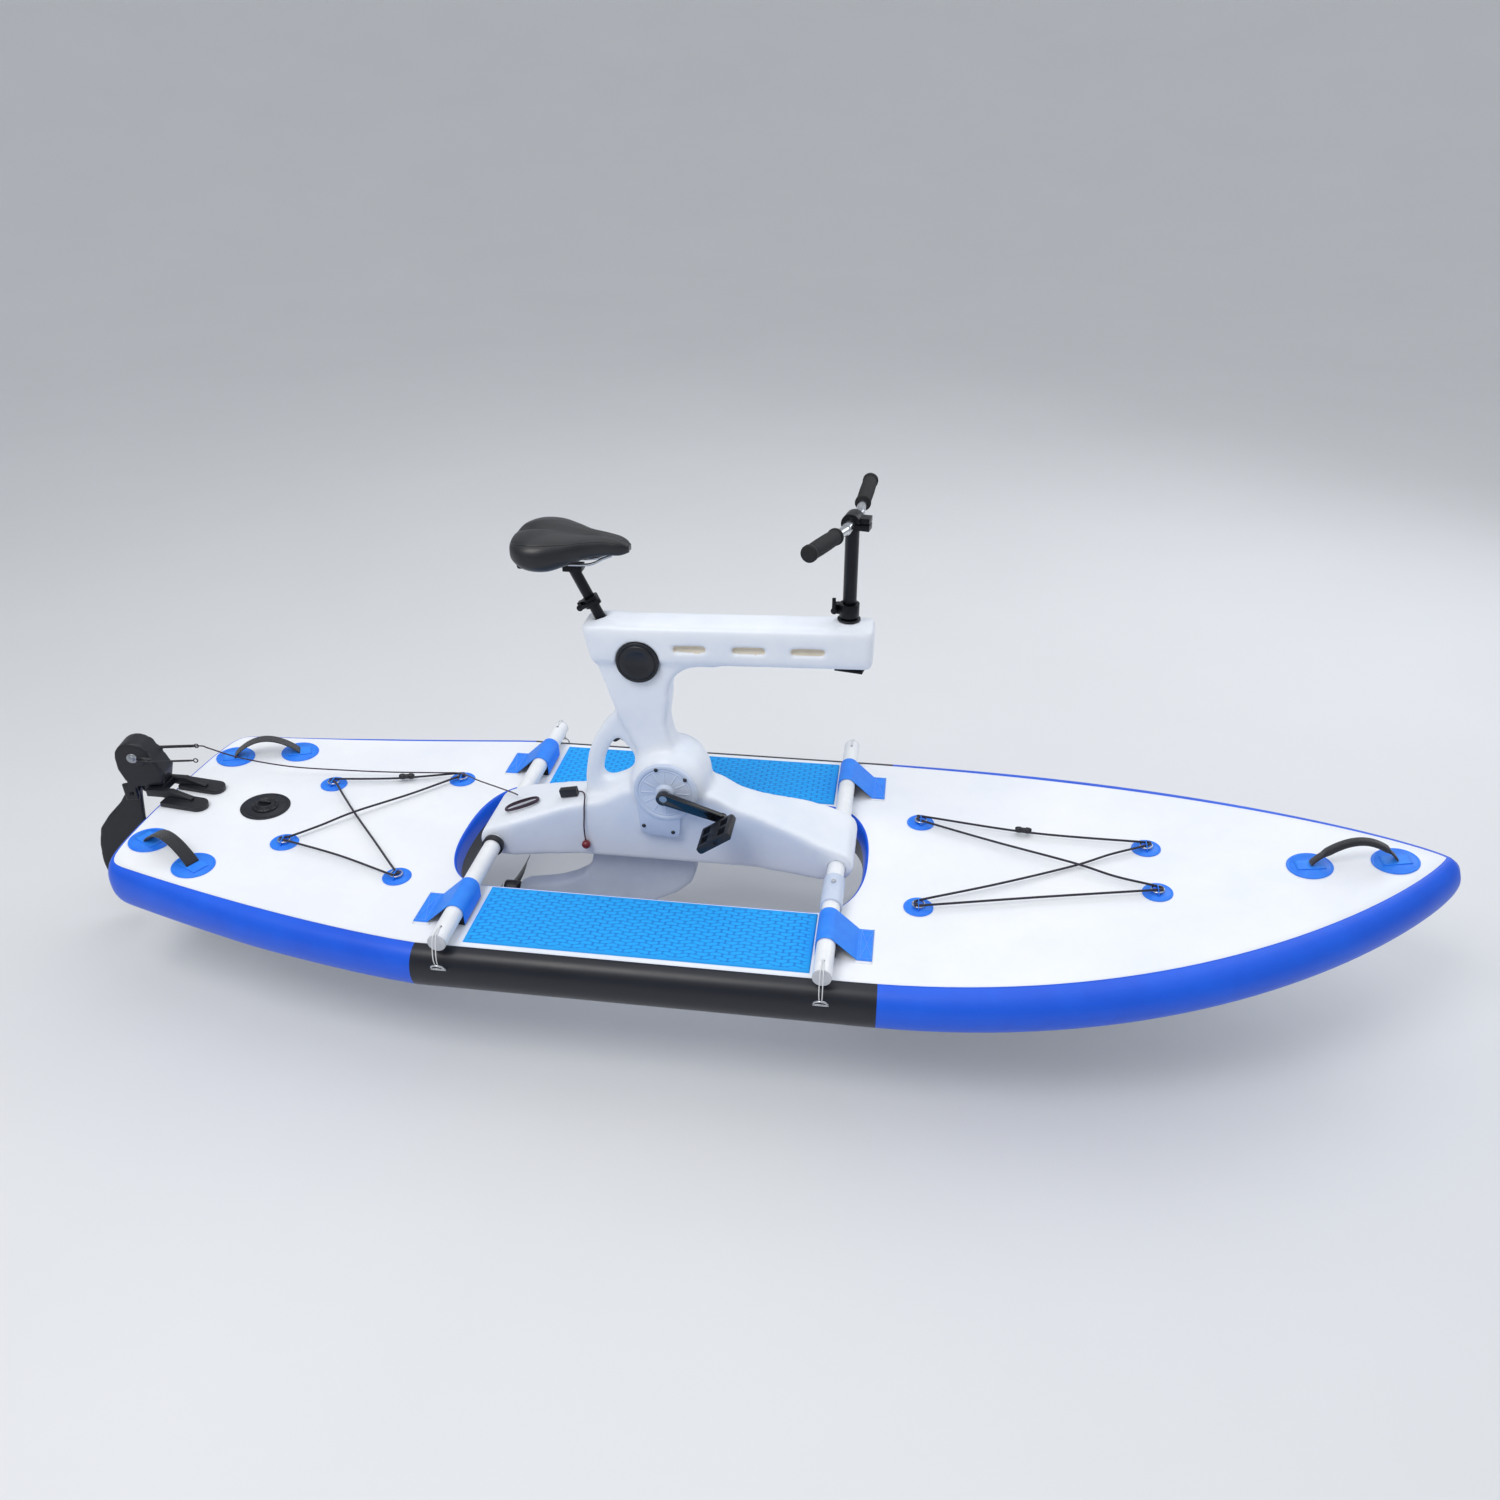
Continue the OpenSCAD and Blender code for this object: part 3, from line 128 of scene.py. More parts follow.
def skin(name, grids, wrap_u=False, wrap_v=False, caps=True, pick=None, size=(1.0, 1.0)):
    """One mesh from grids of points (rows u, columns v): neighbours make quads, and each end row closes with a cap.
    The UV map is the row and column number times size. pick(u, v) gives each quad's material."""
    verts, quads, ends, uvs, picks = [], [], [], [], []
    base = 0
    for grid in grids:
        m, n = grid.shape[:2]
        index = base + np.arange(m * n).reshape(m, n)
        rows, cols = (m if wrap_u else m - 1), (n if wrap_v else n - 1)
        u, v = np.meshgrid(np.arange(rows), np.arange(cols), indexing="ij")
        u2, v2 = (u + 1) % m, (v + 1) % n
        quads.append(np.stack([index[u, v], index[u2, v], index[u2, v2], index[u, v2]], -1).reshape(-1, 4))
        uvs.append(np.stack([np.stack([(u + a) * size[0], (v + b) * size[1]], -1)
                             for a, b in ((0, 0), (1, 0), (1, 1), (0, 1))], -2).reshape(-1, 2))
        picks.append((pick(u, v) if pick else np.zeros_like(u)).reshape(-1))
        if caps and wrap_v and not wrap_u:
            ends += [index[0, ::-1].tolist(), index[-1].tolist()]
        verts.append(grid.reshape(-1, 3))
        base += m * n
    mesh = bpy.data.meshes.new(name)
    mesh.from_pydata(np.vstack(verts).tolist(), [], np.vstack(quads).tolist() + ends)
    flat = np.vstack(uvs)
    rest = len(mesh.loops) - len(flat)
    layer = mesh.uv_layers.new(name="UVMap")
    layer.data.foreach_set("uv", np.vstack([flat, np.zeros((rest, 2))]).astype(np.float32).ravel())
    chosen = np.concatenate(picks + [np.zeros(len(ends), int)])
    mesh.polygons.foreach_set("material_index", chosen.astype(np.int32))
    face_out(mesh)
    return mesh


def rings(path, section, up=(0, 0, 1), closed=False):
    """A section (points across, up) carried along a path. Its axes are the path's direction crossed with up, and
    that direction crossed with the first. A section may be one outline or one for each station."""
    p = np.asarray(path, float)
    if closed:
        ahead = np.roll(p, -1, 0) - np.roll(p, 1, 0)
    else:
        ahead = np.gradient(p, axis=0)
    ahead = unit(ahead)
    side = unit(np.cross(ahead, np.asarray(up, float)))
    top = np.cross(side, ahead)
    s = np.asarray(section, float)
    s = np.broadcast_to(s, (len(p), *s.shape[-2:]))
    return p[:, None] + s[..., :1] * side[:, None] + s[..., 1:] * top[:, None]


def circle(radius, sides):
    """Points at even angles: radius times cosine and sine."""
    a = np.linspace(0, 2 * math.pi, sides, endpoint=False)
    return np.stack([radius * np.cos(a), radius * np.sin(a)], -1)


def squircle(half_w, half_h, power=4.0, sides=32):
    """A rounded rectangle: cosine and sine raised to 2 over power, with their signs."""
    a = np.linspace(0, 2 * math.pi, sides, endpoint=False)
    c, s = np.cos(a), np.sin(a)
    return np.stack([half_w * np.sign(c) * abs(c) ** (2 / power), half_h * np.sign(s) * abs(s) ** (2 / power)], -1)


def cord_mesh(name, path, diameter, sides=12, up=(0, 0, 1), closed=False):
    """A round cord along a path, its UV map in metres."""
    grid = rings(path, circle(diameter / 2, sides), up, closed)
    step = np.linalg.norm(np.diff(path, axis=0), axis=1).mean()
    return skin(name, [grid], wrap_u=closed, wrap_v=True, size=(step, diameter * math.pi / sides))


def turned(profile, centre, axis, sides=48):
    """A lathe shape: each profile point (radius, height) goes round the axis through centre."""
    z = unit(np.asarray(axis, float))
    x = unit(np.cross(z, (0.0, 1.0, 0.0) if abs(z[1]) < 0.9 else (1.0, 0.0, 0.0)))
    y = np.cross(z, x)
    a = np.linspace(0, 2 * math.pi, sides, endpoint=False)[None, :, None]
    r, h = (np.asarray(profile, float)[:, None, k, None] for k in (0, 1))
    return np.asarray(centre, float) + r * (np.cos(a) * x + np.sin(a) * y) + h * z


def lathe(name, parts, sides=48):
    """One mesh of turned parts, each (profile, centre, axis)."""
    return skin(name, [turned(p, c, a, sides) for p, c, a in parts], wrap_v=True)


def bars(name, grids, look, body, replaces=(), slot=None, **settings):
    """A piece made of closed bars, each a grid of rings."""
    return put(name, skin(name, grids, wrap_v=True, **settings), look, body, replaces)


def merged_copy(node):
    """A copy of a CAD node's mesh with its loose triangles joined up."""
    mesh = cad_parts[node].data.copy()
    mesh.name = node
    mesh.materials.clear()
    work = bmesh.new()
    work.from_mesh(mesh)
    bmesh.ops.remove_doubles(work, verts=work.verts, dist=MERGE_WITHIN)
    work.to_mesh(mesh)
    work.free()
    return mesh


def run_modifiers(mesh, *made):
    """Applies modifiers, each (type, settings), to a mesh and gives the new mesh."""
    holder = bpy.data.objects.new("work", mesh)
    bpy.context.scene.collection.objects.link(holder)
    for kind, settings in made:
        modifier = holder.modifiers.new(kind, kind)
        for key, value in settings.items():
            setattr(modifier, key, value)
    bpy.context.view_layer.update()
    result = bpy.data.meshes.new_from_object(holder.evaluated_get(bpy.context.evaluated_depsgraph_get()))
    bpy.data.objects.remove(holder)
    return result


def relax(mesh, passes, weight):
    """Moves each point, passes times, towards the mean of its neighbours by PULL_IN of its weight, and then away
    from the new mean by PUSH_OUT of it, so that thin walls keep their size."""
    n = len(mesh.vertices)
    co = np.empty(n * 3, np.float32)
    mesh.vertices.foreach_get("co", co)
    p = co.reshape(-1, 3).astype(float)
    edges = np.empty(len(mesh.edges) * 2, np.int32)
    mesh.edges.foreach_get("vertices", edges)
    a, b = edges.reshape(-1, 2).T
    count = np.bincount(np.concatenate([a, b]), minlength=n)[:, None]
    w = weight(p)[:, None]
    for _ in range(passes):
        for pull in (PULL_IN, -PUSH_OUT):
            total = np.stack([np.bincount(a, p[b, k], n) + np.bincount(b, p[a, k], n) for k in range(3)], -1)
            p += pull * w * (total / count - p)
    mesh.vertices.foreach_set("co", p.astype(np.float32).ravel())
    mesh.update()


def rounded(node, voxel, passes, look, body, freedom=None):
    """A moulded copy of a CAD node: its corners are rounded over on an even grid of small faces. freedom gives
    how far each point may move, from 0 to 1."""
    mesh = run_modifiers(merged_copy(node), ("REMESH", {"mode": "VOXEL", "voxel_size": voxel}))
    relax(mesh, passes, freedom or (lambda p: np.ones(len(p))))
    return put(node + "_moulding", mesh, look, body, node)


def bevelled(node, width, look, body, slot):
    """A copy of a CAD node with its flat faces whole again and its hard edges rounded over."""
    mesh = merged_copy(node)
    work = bmesh.new()
    work.from_mesh(mesh)
    bmesh.ops.dissolve_limit(work, angle_limit=FLAT_WITHIN, verts=work.verts, edges=work.edges)
    work.to_mesh(mesh)
    work.free()
    mesh = run_modifiers(mesh, ("BEVEL", {"width": width, "segments": 2, "limit_method": "ANGLE",
                                          "angle_limit": BEVEL_FROM, "harden_normals": False}))
    put(node + "_finished", mesh, look, body, node)
    mesh.set_sharp_from_angle(angle=SHARP_FROM)


# ---------------------------------------------------------------- materials
def linear(r, g, b):
    """An 8-bit display colour as scene-linear light."""
    c = np.array([r, g, b]) / 255
    return tuple(np.where(c <= 0.04045, c / 12.92, ((c + 0.055) / 1.055) ** 2.4)) + (1.0,)


def finish(name, colour, other, rough, mottle=9.0, grain=900.0, relief=0.15, depth=0.0002, metal=0.0,
           pattern="noise", space="Object", coat=0.0, sheen=0.0, stretch=(1, 1, 1), attribute=None):
    """A surface finish. Colour drifts to other in soft blotches, or by one of the mesh's own attributes. Roughness
    varies with the blotches, and a fine pattern gives the relief: noise, weave (two crossed waves), hide (cells)
    or braid (crossed diagonal waves)."""
    made = bpy.data.materials.new(name)
    made.use_nodes = True
    nodes, links = made.node_tree.nodes, made.node_tree.links
    shader = nodes["Principled BSDF"]
    shader.inputs["Metallic"].default_value = metal
    shader.inputs["Coat Weight"].default_value = coat
    shader.inputs["Sheen Weight"].default_value = sheen
    where = nodes.new("ShaderNodeTexCoord")
    scaled = nodes.new("ShaderNodeMapping")
    scaled.inputs["Scale"].default_value = stretch
    links.new(where.outputs[space], scaled.inputs["Vector"])

    def texture(kind, scale, **inputs):
        node = nodes.new(kind)
        node.inputs["Scale"].default_value = scale
        for key, value in inputs.items():
            node.inputs[key].default_value = value
        links.new(scaled.outputs["Vector"], node.inputs["Vector"])
        return node

    blotch = texture("ShaderNodeTexNoise", mottle, Detail=5.0, Roughness=0.62)
    ramp = nodes.new("ShaderNodeValToRGB")
    ramp.color_ramp.elements[0].position, ramp.color_ramp.elements[1].position = 0.32, 0.7
    ramp.color_ramp.elements[0].color, ramp.color_ramp.elements[1].color = colour, other
    # A given attribute places the two colours instead of the blotches; the deck pad uses this to paint shade into the
    # hollows between its pillows.
    if attribute:
        own = nodes.new("ShaderNodeAttribute")
        own.attribute_name = attribute
        ramp.color_ramp.elements[0].position, ramp.color_ramp.elements[1].position = 0.0, 0.55
    links.new(own.outputs["Fac"] if attribute else blotch.outputs["Fac"], ramp.inputs["Fac"])
    links.new(ramp.outputs["Color"], shader.inputs["Base Color"])
    spread = nodes.new("ShaderNodeMapRange")
    spread.inputs["To Min"].default_value, spread.inputs["To Max"].default_value = rough - 0.07, rough + 0.09
    links.new(blotch.outputs["Fac"], spread.inputs["Value"])
    links.new(spread.outputs["Result"], shader.inputs["Roughness"])

    def crossed(first, second):
        """The larger of two waves, each with its own direction."""
        waves = []
        for direction in (first, second):
            wave = nodes.new("ShaderNodeTexWave")
            wave.inputs["Scale"].default_value = grain
            wave.bands_direction = direction if direction != "MIRRORED" else "DIAGONAL"
            turn = nodes.new("ShaderNodeMapping")
            if direction == "MIRRORED":
                turn.inputs["Scale"].default_value = (-1, 1, 1)
            links.new(scaled.outputs["Vector"], turn.inputs["Vector"])
            links.new(turn.outputs["Vector"], wave.inputs["Vector"])
            waves.append(wave)
        larger = nodes.new("ShaderNodeMath")
        larger.operation = "MAXIMUM"
        for k, wave in enumerate(waves):
            links.new(wave.outputs["Fac"], larger.inputs[k])
        return larger.outputs["Value"]

    if pattern == "weave":
        height = crossed("X", "Y")
    elif pattern == "braid":
        height = crossed("DIAGONAL", "MIRRORED")
    elif pattern == "hide":
        height = texture("ShaderNodeTexVoronoi", grain).outputs["Distance"]
    else:
        height = texture("ShaderNodeTexNoise", grain, Detail=3.0).outputs["Fac"]
    bump = nodes.new("ShaderNodeBump")
    bump.inputs["Strength"].default_value = relief
    bump.inputs["Distance"].default_value = depth
    links.new(height, bump.inputs["Height"])
    links.new(bump.outputs["Normal"], shader.inputs["Normal"])
    return made


DECK_WHITE = finish("deck_white", linear(236, 240, 248), linear(246, 248, 252), 0.42, 3.0, 420.0, 0.18, pattern="weave")
RAIL_BLUE = finish("rail_blue", linear(0, 84, 222), linear(4, 98, 238), 0.38, 4.0, 420.0, 0.16, pattern="weave")
RAIL_BLACK = finish("rail_black", linear(8, 12, 26), linear(14, 18, 32), 0.36, 4.0, 420.0, 0.18, pattern="weave")
# Deck pad foam: its own azure on the pillows' tops, and a darker blue in the hollows between them that is painted
# shade, set by the pillow attribute.
PAD_AZURE_SHADED_HOLLOWS = finish("pad_azure_shaded_hollows", linear(0, 104, 196), linear(12, 168, 250), 0.7, 14.0, 700.0, 0.3, 0.0003,
                   attribute="pillow")
PATCH_BLUE = finish("patch_blue", linear(22, 118, 245), linear(40, 138, 255), 0.42, 30.0, 600.0, 0.2, pattern="weave")
STRAP_BLUE = finish("strap_blue", linear(30, 128, 250), linear(48, 146, 255), 0.5, 24.0, 520.0, 0.3, 0.0003,
                    pattern="weave")
STITCH = finish("stitch_thread", linear(120, 178, 250), linear(150, 196, 255), 0.7, 60.0, 2500.0, 0.3)
WEBBING = finish("webbing_black", linear(16, 18, 24), linear(30, 32, 40), 0.75, 40.0, 330.0, 0.6, 0.0006,
                 pattern="weave", sheen=0.3)
SHOCK_CORD = finish("shock_cord", linear(22, 20, 34), linear(44, 40, 58), 0.72, 80.0, 300.0, 0.7, 0.0006,
                    pattern="braid", space="UV", sheen=0.2)
PURPLE_LINE = finish("purple_line", linear(42, 24, 44), linear(66, 40, 66), 0.7, 80.0, 480.0, 0.7, 0.0005,
                     pattern="braid", space="UV", sheen=0.2)
WHITE_LINE = finish("white_line", linear(225, 228, 232), linear(245, 246, 248), 0.7, 80.0, 480.0, 0.6, 0.0004,
                    pattern="braid", space="UV")
ROTOMOULD = finish("rotomoulded_white", linear(226, 233, 245), linear(240, 244, 251), 0.36, 5.0, 260.0, 0.12, 0.0004)
MOULD_SHADE = finish("moulding_pale_blue", linear(196, 208, 230), linear(212, 222, 240), 0.4, 7.0, 300.0, 0.14, 0.0004)
LEG_GREY = finish("leg_grey", linear(176, 186, 206), linear(196, 204, 220), 0.42, 6.0, 300.0, 0.16, 0.0004)
POWDER_WHITE = finish("powder_white", linear(232, 235, 240), linear(244, 246, 249), 0.33, 20.0, 850.0, 0.16, coat=0.2)
END_GREY = finish("end_plug_grey", linear(190, 194, 202), linear(208, 211, 218), 0.5, 30.0, 800.0, 0.2)
BLACK_PLASTIC = finish("black_plastic", linear(12, 14, 22), linear(24, 27, 36), 0.42, 18.0, 620.0, 0.22, 0.0003)
BLACK_ANODISED = finish("black_anodised", linear(10, 12, 18), linear(20, 22, 30), 0.34, 30.0, 900.0, 0.08, metal=0.55)
GLOSS_BLACK = finish("gloss_black", linear(8, 10, 16), linear(16, 18, 26), 0.22, 20.0, 500.0, 0.05, coat=0.5)
STEEL = finish("polished_steel", linear(186, 189, 194), linear(208, 210, 214), 0.26, 40.0, 500.0, 0.08, metal=1.0)
BRUSHED = finish("brushed_steel", linear(158, 162, 168), linear(184, 187, 192), 0.32, 40.0, 700.0, 0.18, metal=1.0,
                 stretch=(1, 1, 0.04))
CHROME = finish("bar_chrome", linear(206, 209, 214), linear(222, 224, 228), 0.16, 30.0, 500.0, 0.03, metal=1.0)
LEATHER = finish("saddle_leather", linear(14, 15, 20), linear(26, 27, 34), 0.4, 22.0, 640.0, 0.5, 0.0004,
                 pattern="hide", coat=0.12)
RUBBER = finish("grip_rubber", linear(12, 12, 15), linear(24, 24, 28), 0.72, 24.0, 900.0, 0.3, 0.0003)
FOAM = finish("dense_foam", linear(14, 14, 18), linear(26, 26, 30), 0.88, 40.0, 500.0, 0.6, 0.0006)
BALL_RED = finish("ball_red", linear(110, 12, 26), linear(134, 18, 34), 0.28, 24.0, 300.0, 0.05, coat=0.4)
POCKET_BEIGE = finish("pocket_beige", linear(214, 206, 190), linear(226, 219, 206), 0.5, 20.0, 300.0, 0.15)


# ---------------------------------------------------------------- board
BOARD_T = 0.120
DECK_FRONT, DECK_AFT, DECK_HALF_W = 1.968, 1.466, 0.495
BOW_START, STERN_START, ROCKER_START = 0.485, 0.539, 0.583
BOW_LEN, STERN_LEN = DECK_FRONT - BOW_START, DECK_AFT - STERN_START
RAIL_OUT, BOW_SWELL = 0.046, 0.014
WELL_HALF_W, WELL_FRONT, WELL_AFT, WELL_END = 0.250, 0.395, 0.440, 0.148


def rocker(x):
    """The underside's rise: nothing amidships, then the square of the distance past where it starts."""
    fore, aft = np.maximum(x - ROCKER_START, 0), np.maximum(-ROCKER_START - x, 0)
    return 0.0728 * fore**2 + 0.0566 * aft**2


def rail_bulge(x):
    """How far the rail stands out: fuller along the bow by half a sine wave, and less towards the transom."""
    fore = np.clip((x - BOW_START) / BOW_LEN, 0, 1)
    aft = np.clip((-1.0 - x) / (DECK_AFT - 1.0), 0, 1)
    return (RAIL_OUT + BOW_SWELL * np.sin(math.pi * fore)) * (1 - 0.5 * aft)


def board_edges(end_steps=44, mid_steps=30):
    """The deck's edge and the well's edge as closed rings with the same number of stations. The bow is a power
    curve of the distance to its tip, the stern a slow taper to a square transom, the well's ends superellipses."""
    a = np.radians(90 * np.arange(end_steps) / end_steps)
    t = np.cos(a)
    bow = np.stack([BOW_START + BOW_LEN * t, DECK_HALF_W * np.maximum(1 - t**2.18, 0) ** 0.85], -1)
    k = np.arange(mid_steps + 1) / mid_steps
    middle = np.stack([BOW_START - (BOW_START + STERN_START) * k, np.full(mid_steps + 1, DECK_HALF_W)], -1)
    s = 1 - (1 - np.arange(1, end_steps + 1) / end_steps) ** 3
    taper = 1 - 0.34 * (s * STERN_LEN / 0.971) ** 1.2
    stern = np.stack([-STERN_START - STERN_LEN * s, DECK_HALF_W * taper * np.sqrt(np.maximum(1 - s**80, 0))], -1)
    power = 2 / 2.4
    fore = np.stack([WELL_FRONT + WELL_END * np.cos(a) ** power, WELL_HALF_W * np.sin(a) ** power], -1)
    straight = np.stack([WELL_FRONT - (WELL_FRONT + WELL_AFT) * k, np.full(mid_steps + 1, WELL_HALF_W)], -1)
    b = np.radians(90 * np.arange(1, end_steps + 1) / end_steps)
    aft = np.stack([-WELL_AFT - WELL_END * np.sin(b) ** power,
                    WELL_HALF_W * np.maximum(np.cos(b), 0) ** power], -1)

    def ring(*runs):
        side = np.vstack(runs)
        return np.vstack([side, (side * (1, -1))[-2:0:-1]])

    return ring(bow, middle, stern), ring(fore, straight, aft)


def outward(ring):
    """Flat vectors square to a ring's direction, away from its middle."""
    ahead = unit(np.roll(ring, -1, 0) - np.roll(ring, 1, 0))
    return np.stack([ahead[:, 1], -ahead[:, 0]], -1)


BLACK_FROM, BLACK_TO = -0.540, 0.615
DECK_STEPS, RAIL_STEPS, WALL_STEPS = 26, 26, 14
SEAM_H = 0.0011


def build_board():
    """The inflated skin as rings: across the deck, round the rail, back under and up the well's wall. The rail's
    strips lap over the deck's edge by a small step."""
    edge, well = board_edges()
    n, m = outward(edge), outward(well)
    columns = []
    for i in range(DECK_STEPS):
        c = well + (edge - well) * i / DECK_STEPS
        columns.append(np.column_stack([c, BOARD_T + rocker(c[:, 0])]))
    lift = rocker(edge[:, 0])
    lap = edge - n * 0.001
    columns.append(np.column_stack([lap, BOARD_T + lift]))
    for i in range(RAIL_STEPS + 1):
        a = math.pi * i / RAIL_STEPS
        bulge = (rail_bulge(edge[:, 0]) * math.sin(a))[:, None]
        step = SEAM_H if 0 < i < RAIL_STEPS else 0.0
        c = edge + n * (bulge + step)
        z = BOARD_T / 2 * (1 + math.cos(a)) + lift + (SEAM_H if i == 0 else 0.0)
        columns.append(np.column_stack([c, z]))
    for i in range(1, DECK_STEPS + 1):
        c = edge + (well - edge) * i / DECK_STEPS
        columns.append(np.column_stack([c, rocker(c[:, 0])]))
    for i in range(1, WALL_STEPS):
        a = math.pi * i / WALL_STEPS
        c = well - m * 0.014 * math.sin(a)
        columns.append(np.column_stack([c, BOARD_T / 2 * (1 - math.cos(a)) + rocker(well[:, 0])]))
    grid = np.stack(columns, 1)
    x = edge[:, 0]
    middle = (x + np.roll(x, -1)) / 2

    def pick(u, v):
        """Deck and underside white, rail blue or black by its place, well wall black below and blue above."""
        rail = (v >= DECK_STEPS + 1) & (v < DECK_STEPS + RAIL_STEPS + 1)
        wall = v >= 2 * DECK_STEPS + RAIL_STEPS + 2
        black = (middle[u] > BLACK_FROM) & (middle[u] < BLACK_TO)
        low = v < 2 * DECK_STEPS + RAIL_STEPS + 2 + WALL_STEPS * 0.45
        return np.where(rail, np.where(black, 2, 1), np.where(wall, np.where(low, 2, 1), 0))

    mesh = skin("board_skin", [grid], wrap_u=True, wrap_v=True, pick=pick)
    return put("board_skin", mesh, [DECK_WHITE, RAIL_BLUE, RAIL_BLACK], "hull", "board_hull")


build_board()


def deck_frame(x, y):
    """The deck's height at x, and its forward and upward directions there."""
    slope = (rocker(x + 0.005) - rocker(x - 0.005)) / 0.01
    ahead = unit(np.array([1.0, 0.0, float(slope)]))
    return np.array([x, y, BOARD_T + float(rocker(x))]), ahead, np.cross(ahead, (0.0, 1.0, 0.0))


# ---------------------------------------------------------------- deck pads
ROW_WIDTH, PILLOW_LEN, RIPPLE_LEN, PAD_LIFT = 0.0125, 0.032, 0.064, 0.0002


def build_pad(node):
    """Foam pad with rows of long, staggered lens-shaped pillows: height is the product of a wave along the pad and
    one across it, each row shifted by half a wave and bent in a slow ripple. The rim falls off in a quarter round,
    inside a plain border. The attribute pillow holds how high each point stands in its pillow. The pad's colour
    follows it: the pillows' tops keep the foam's own azure, and the hollows between them get a darker blue as painted
    shade."""
    low, high = (np.array(c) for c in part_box(node))
    nx, ny = 380, 112
    u, v = np.linspace(0, 1, nx), np.linspace(0, 1, ny)
    x = low[0] + (high[0] - low[0]) * u[:, None] + 0 * v
    y = low[1] + (high[1] - low[1]) * v[None, :] + 0 * u[:, None]
    row = (y - low[1]) / ROW_WIDTH + 0.22 * np.sin(2 * math.pi * (x - low[0]) / RIPPLE_LEN)
    along = (x - low[0]) / PILLOW_LEN + 0.5 * (np.floor(row) % 2)
    pillow = np.abs(np.sin(math.pi * along)) ** 0.6 * np.abs(np.sin(math.pi * row)) ** 0.6
    rim = np.minimum.reduce([x - low[0], high[0] - x, y - low[1], high[1] - y])
    fall = np.clip(rim / 0.004, 0, 1)
    inside = np.clip((rim - 0.008) / 0.003, 0, 1)
    thick = 0.0028 + 0.0026 * np.where(inside > 0, pillow * inside, 0) + 0.0016 * (1 - inside)
    z = low[2] + PAD_LIFT + thick * np.sqrt(1 - (1 - fall) ** 2) + 0.0004
    # Where the pad's colour goes: low in the hollows between pillows, which take the darker blue as painted shade, high
    # on the tops, and a middle value on the border.
    height = np.where(inside > 0.5, pillow, 0.45)
    top = np.stack([x, y, z], -1)
    under = top.copy()
    under[..., 2] = low[2] + PAD_LIFT

    def rim_path(g):
        return np.vstack([g[:-1, 0], g[-1, :-1], g[:0:-1, -1], g[0, :0:-1]])

    wall = np.stack([rim_path(under), rim_path(top)], 1)
    mesh = skin(node + "_foam", [top, under], caps=False)
    edge = skin("rim", [wall], wrap_u=True, caps=False)
    work = bmesh.new()
    work.from_mesh(mesh)
    work.from_mesh(edge)
    bmesh.ops.remove_doubles(work, verts=work.verts, dist=1e-6)
    bmesh.ops.recalc_face_normals(work, faces=work.faces)
    work.to_mesh(mesh)
    work.free()
    bpy.data.meshes.remove(edge)
    spots = np.empty(len(mesh.vertices) * 3, np.float32)
    mesh.vertices.foreach_get("co", spots)
    spots = spots.reshape(-1, 3)
    i = np.clip(np.rint((spots[:, 0] - low[0]) / (high[0] - low[0]) * (nx - 1)), 0, nx - 1).astype(int)
    j = np.clip(np.rint((spots[:, 1] - low[1]) / (high[1] - low[1]) * (ny - 1)), 0, ny - 1).astype(int)
    mesh.attributes.new("pillow", "FLOAT", "POINT").data.foreach_set("value", height[i, j].astype(np.float32))
    return put(node + "_foam", mesh, PAD_AZURE_SHADED_HOLLOWS, "hull", node)


for pad_node in ("deck_pad_port", "deck_pad_starboard"):
    build_pad(pad_node)


# ---------------------------------------------------------------- round patches, rings and bungees
def disc(x, y, radius, thick):
    """A thin round patch with a soft edge, and a raised ring just inside it."""
    centre, _, up = deck_frame(x, y)
    profile = [(0.0001, 0), (radius, 0), (radius, thick * 0.5), (radius - 0.0015, thick), (radius - 0.004, thick),
               (radius - 0.005, thick * 0.72), (radius - 0.0065, thick * 0.72), (radius - 0.0075, thick),
               (0.0001, thick)]
    return turned(profile, centre + up * 0.0006, up, 56)


CORD_LIFT = 0.016
AFT_CORNERS = [(-0.690, 0.246), (-1.053, 0.152)]
FORE_CORNERS = [(0.680, 0.193), (1.277, 0.097)]


def build_rings():
    """Welded patches, each with a webbing tab that holds a steel ring."""
    discs, tabs, wires = [], [], []
    t = np.linspace(-1, 1, 25)
    rise = 0.0042 + 0.0105 * np.cos(t * math.pi / 2) ** 0.6
    a = np.linspace(0, 2 * math.pi, 40, endpoint=False)
    for x, y in AFT_CORNERS + FORE_CORNERS:
        for side in (1, -1):
            discs.append(disc(x, side * y, 0.038, 0.0032))
            centre, ahead, up = deck_frame(x, side * y)
            hump = centre + np.outer(t * 0.017, Y_AXIS) + np.outer(rise, up)
            tabs.append(rings(hump, squircle(0.0075, 0.0011, 5, 16), up=ahead))
            ring = centre + up * 0.0115 + 0.015 * (np.outer(np.cos(a), ahead) + np.outer(np.sin(a), Y_AXIS))
            wires.append(rings(ring, circle(0.0022, 12), up=up, closed=True))
    bars("ring_patches", discs, PATCH_BLUE, "hull", "bungee_rings", "ring_patches")
    bars("ring_tabs", tabs, STRAP_BLUE, "hull", slot="ring_patches")
    bars("ring_wires", wires, STEEL, "hull", slot="ring_steel", wrap_u=True)


build_rings()


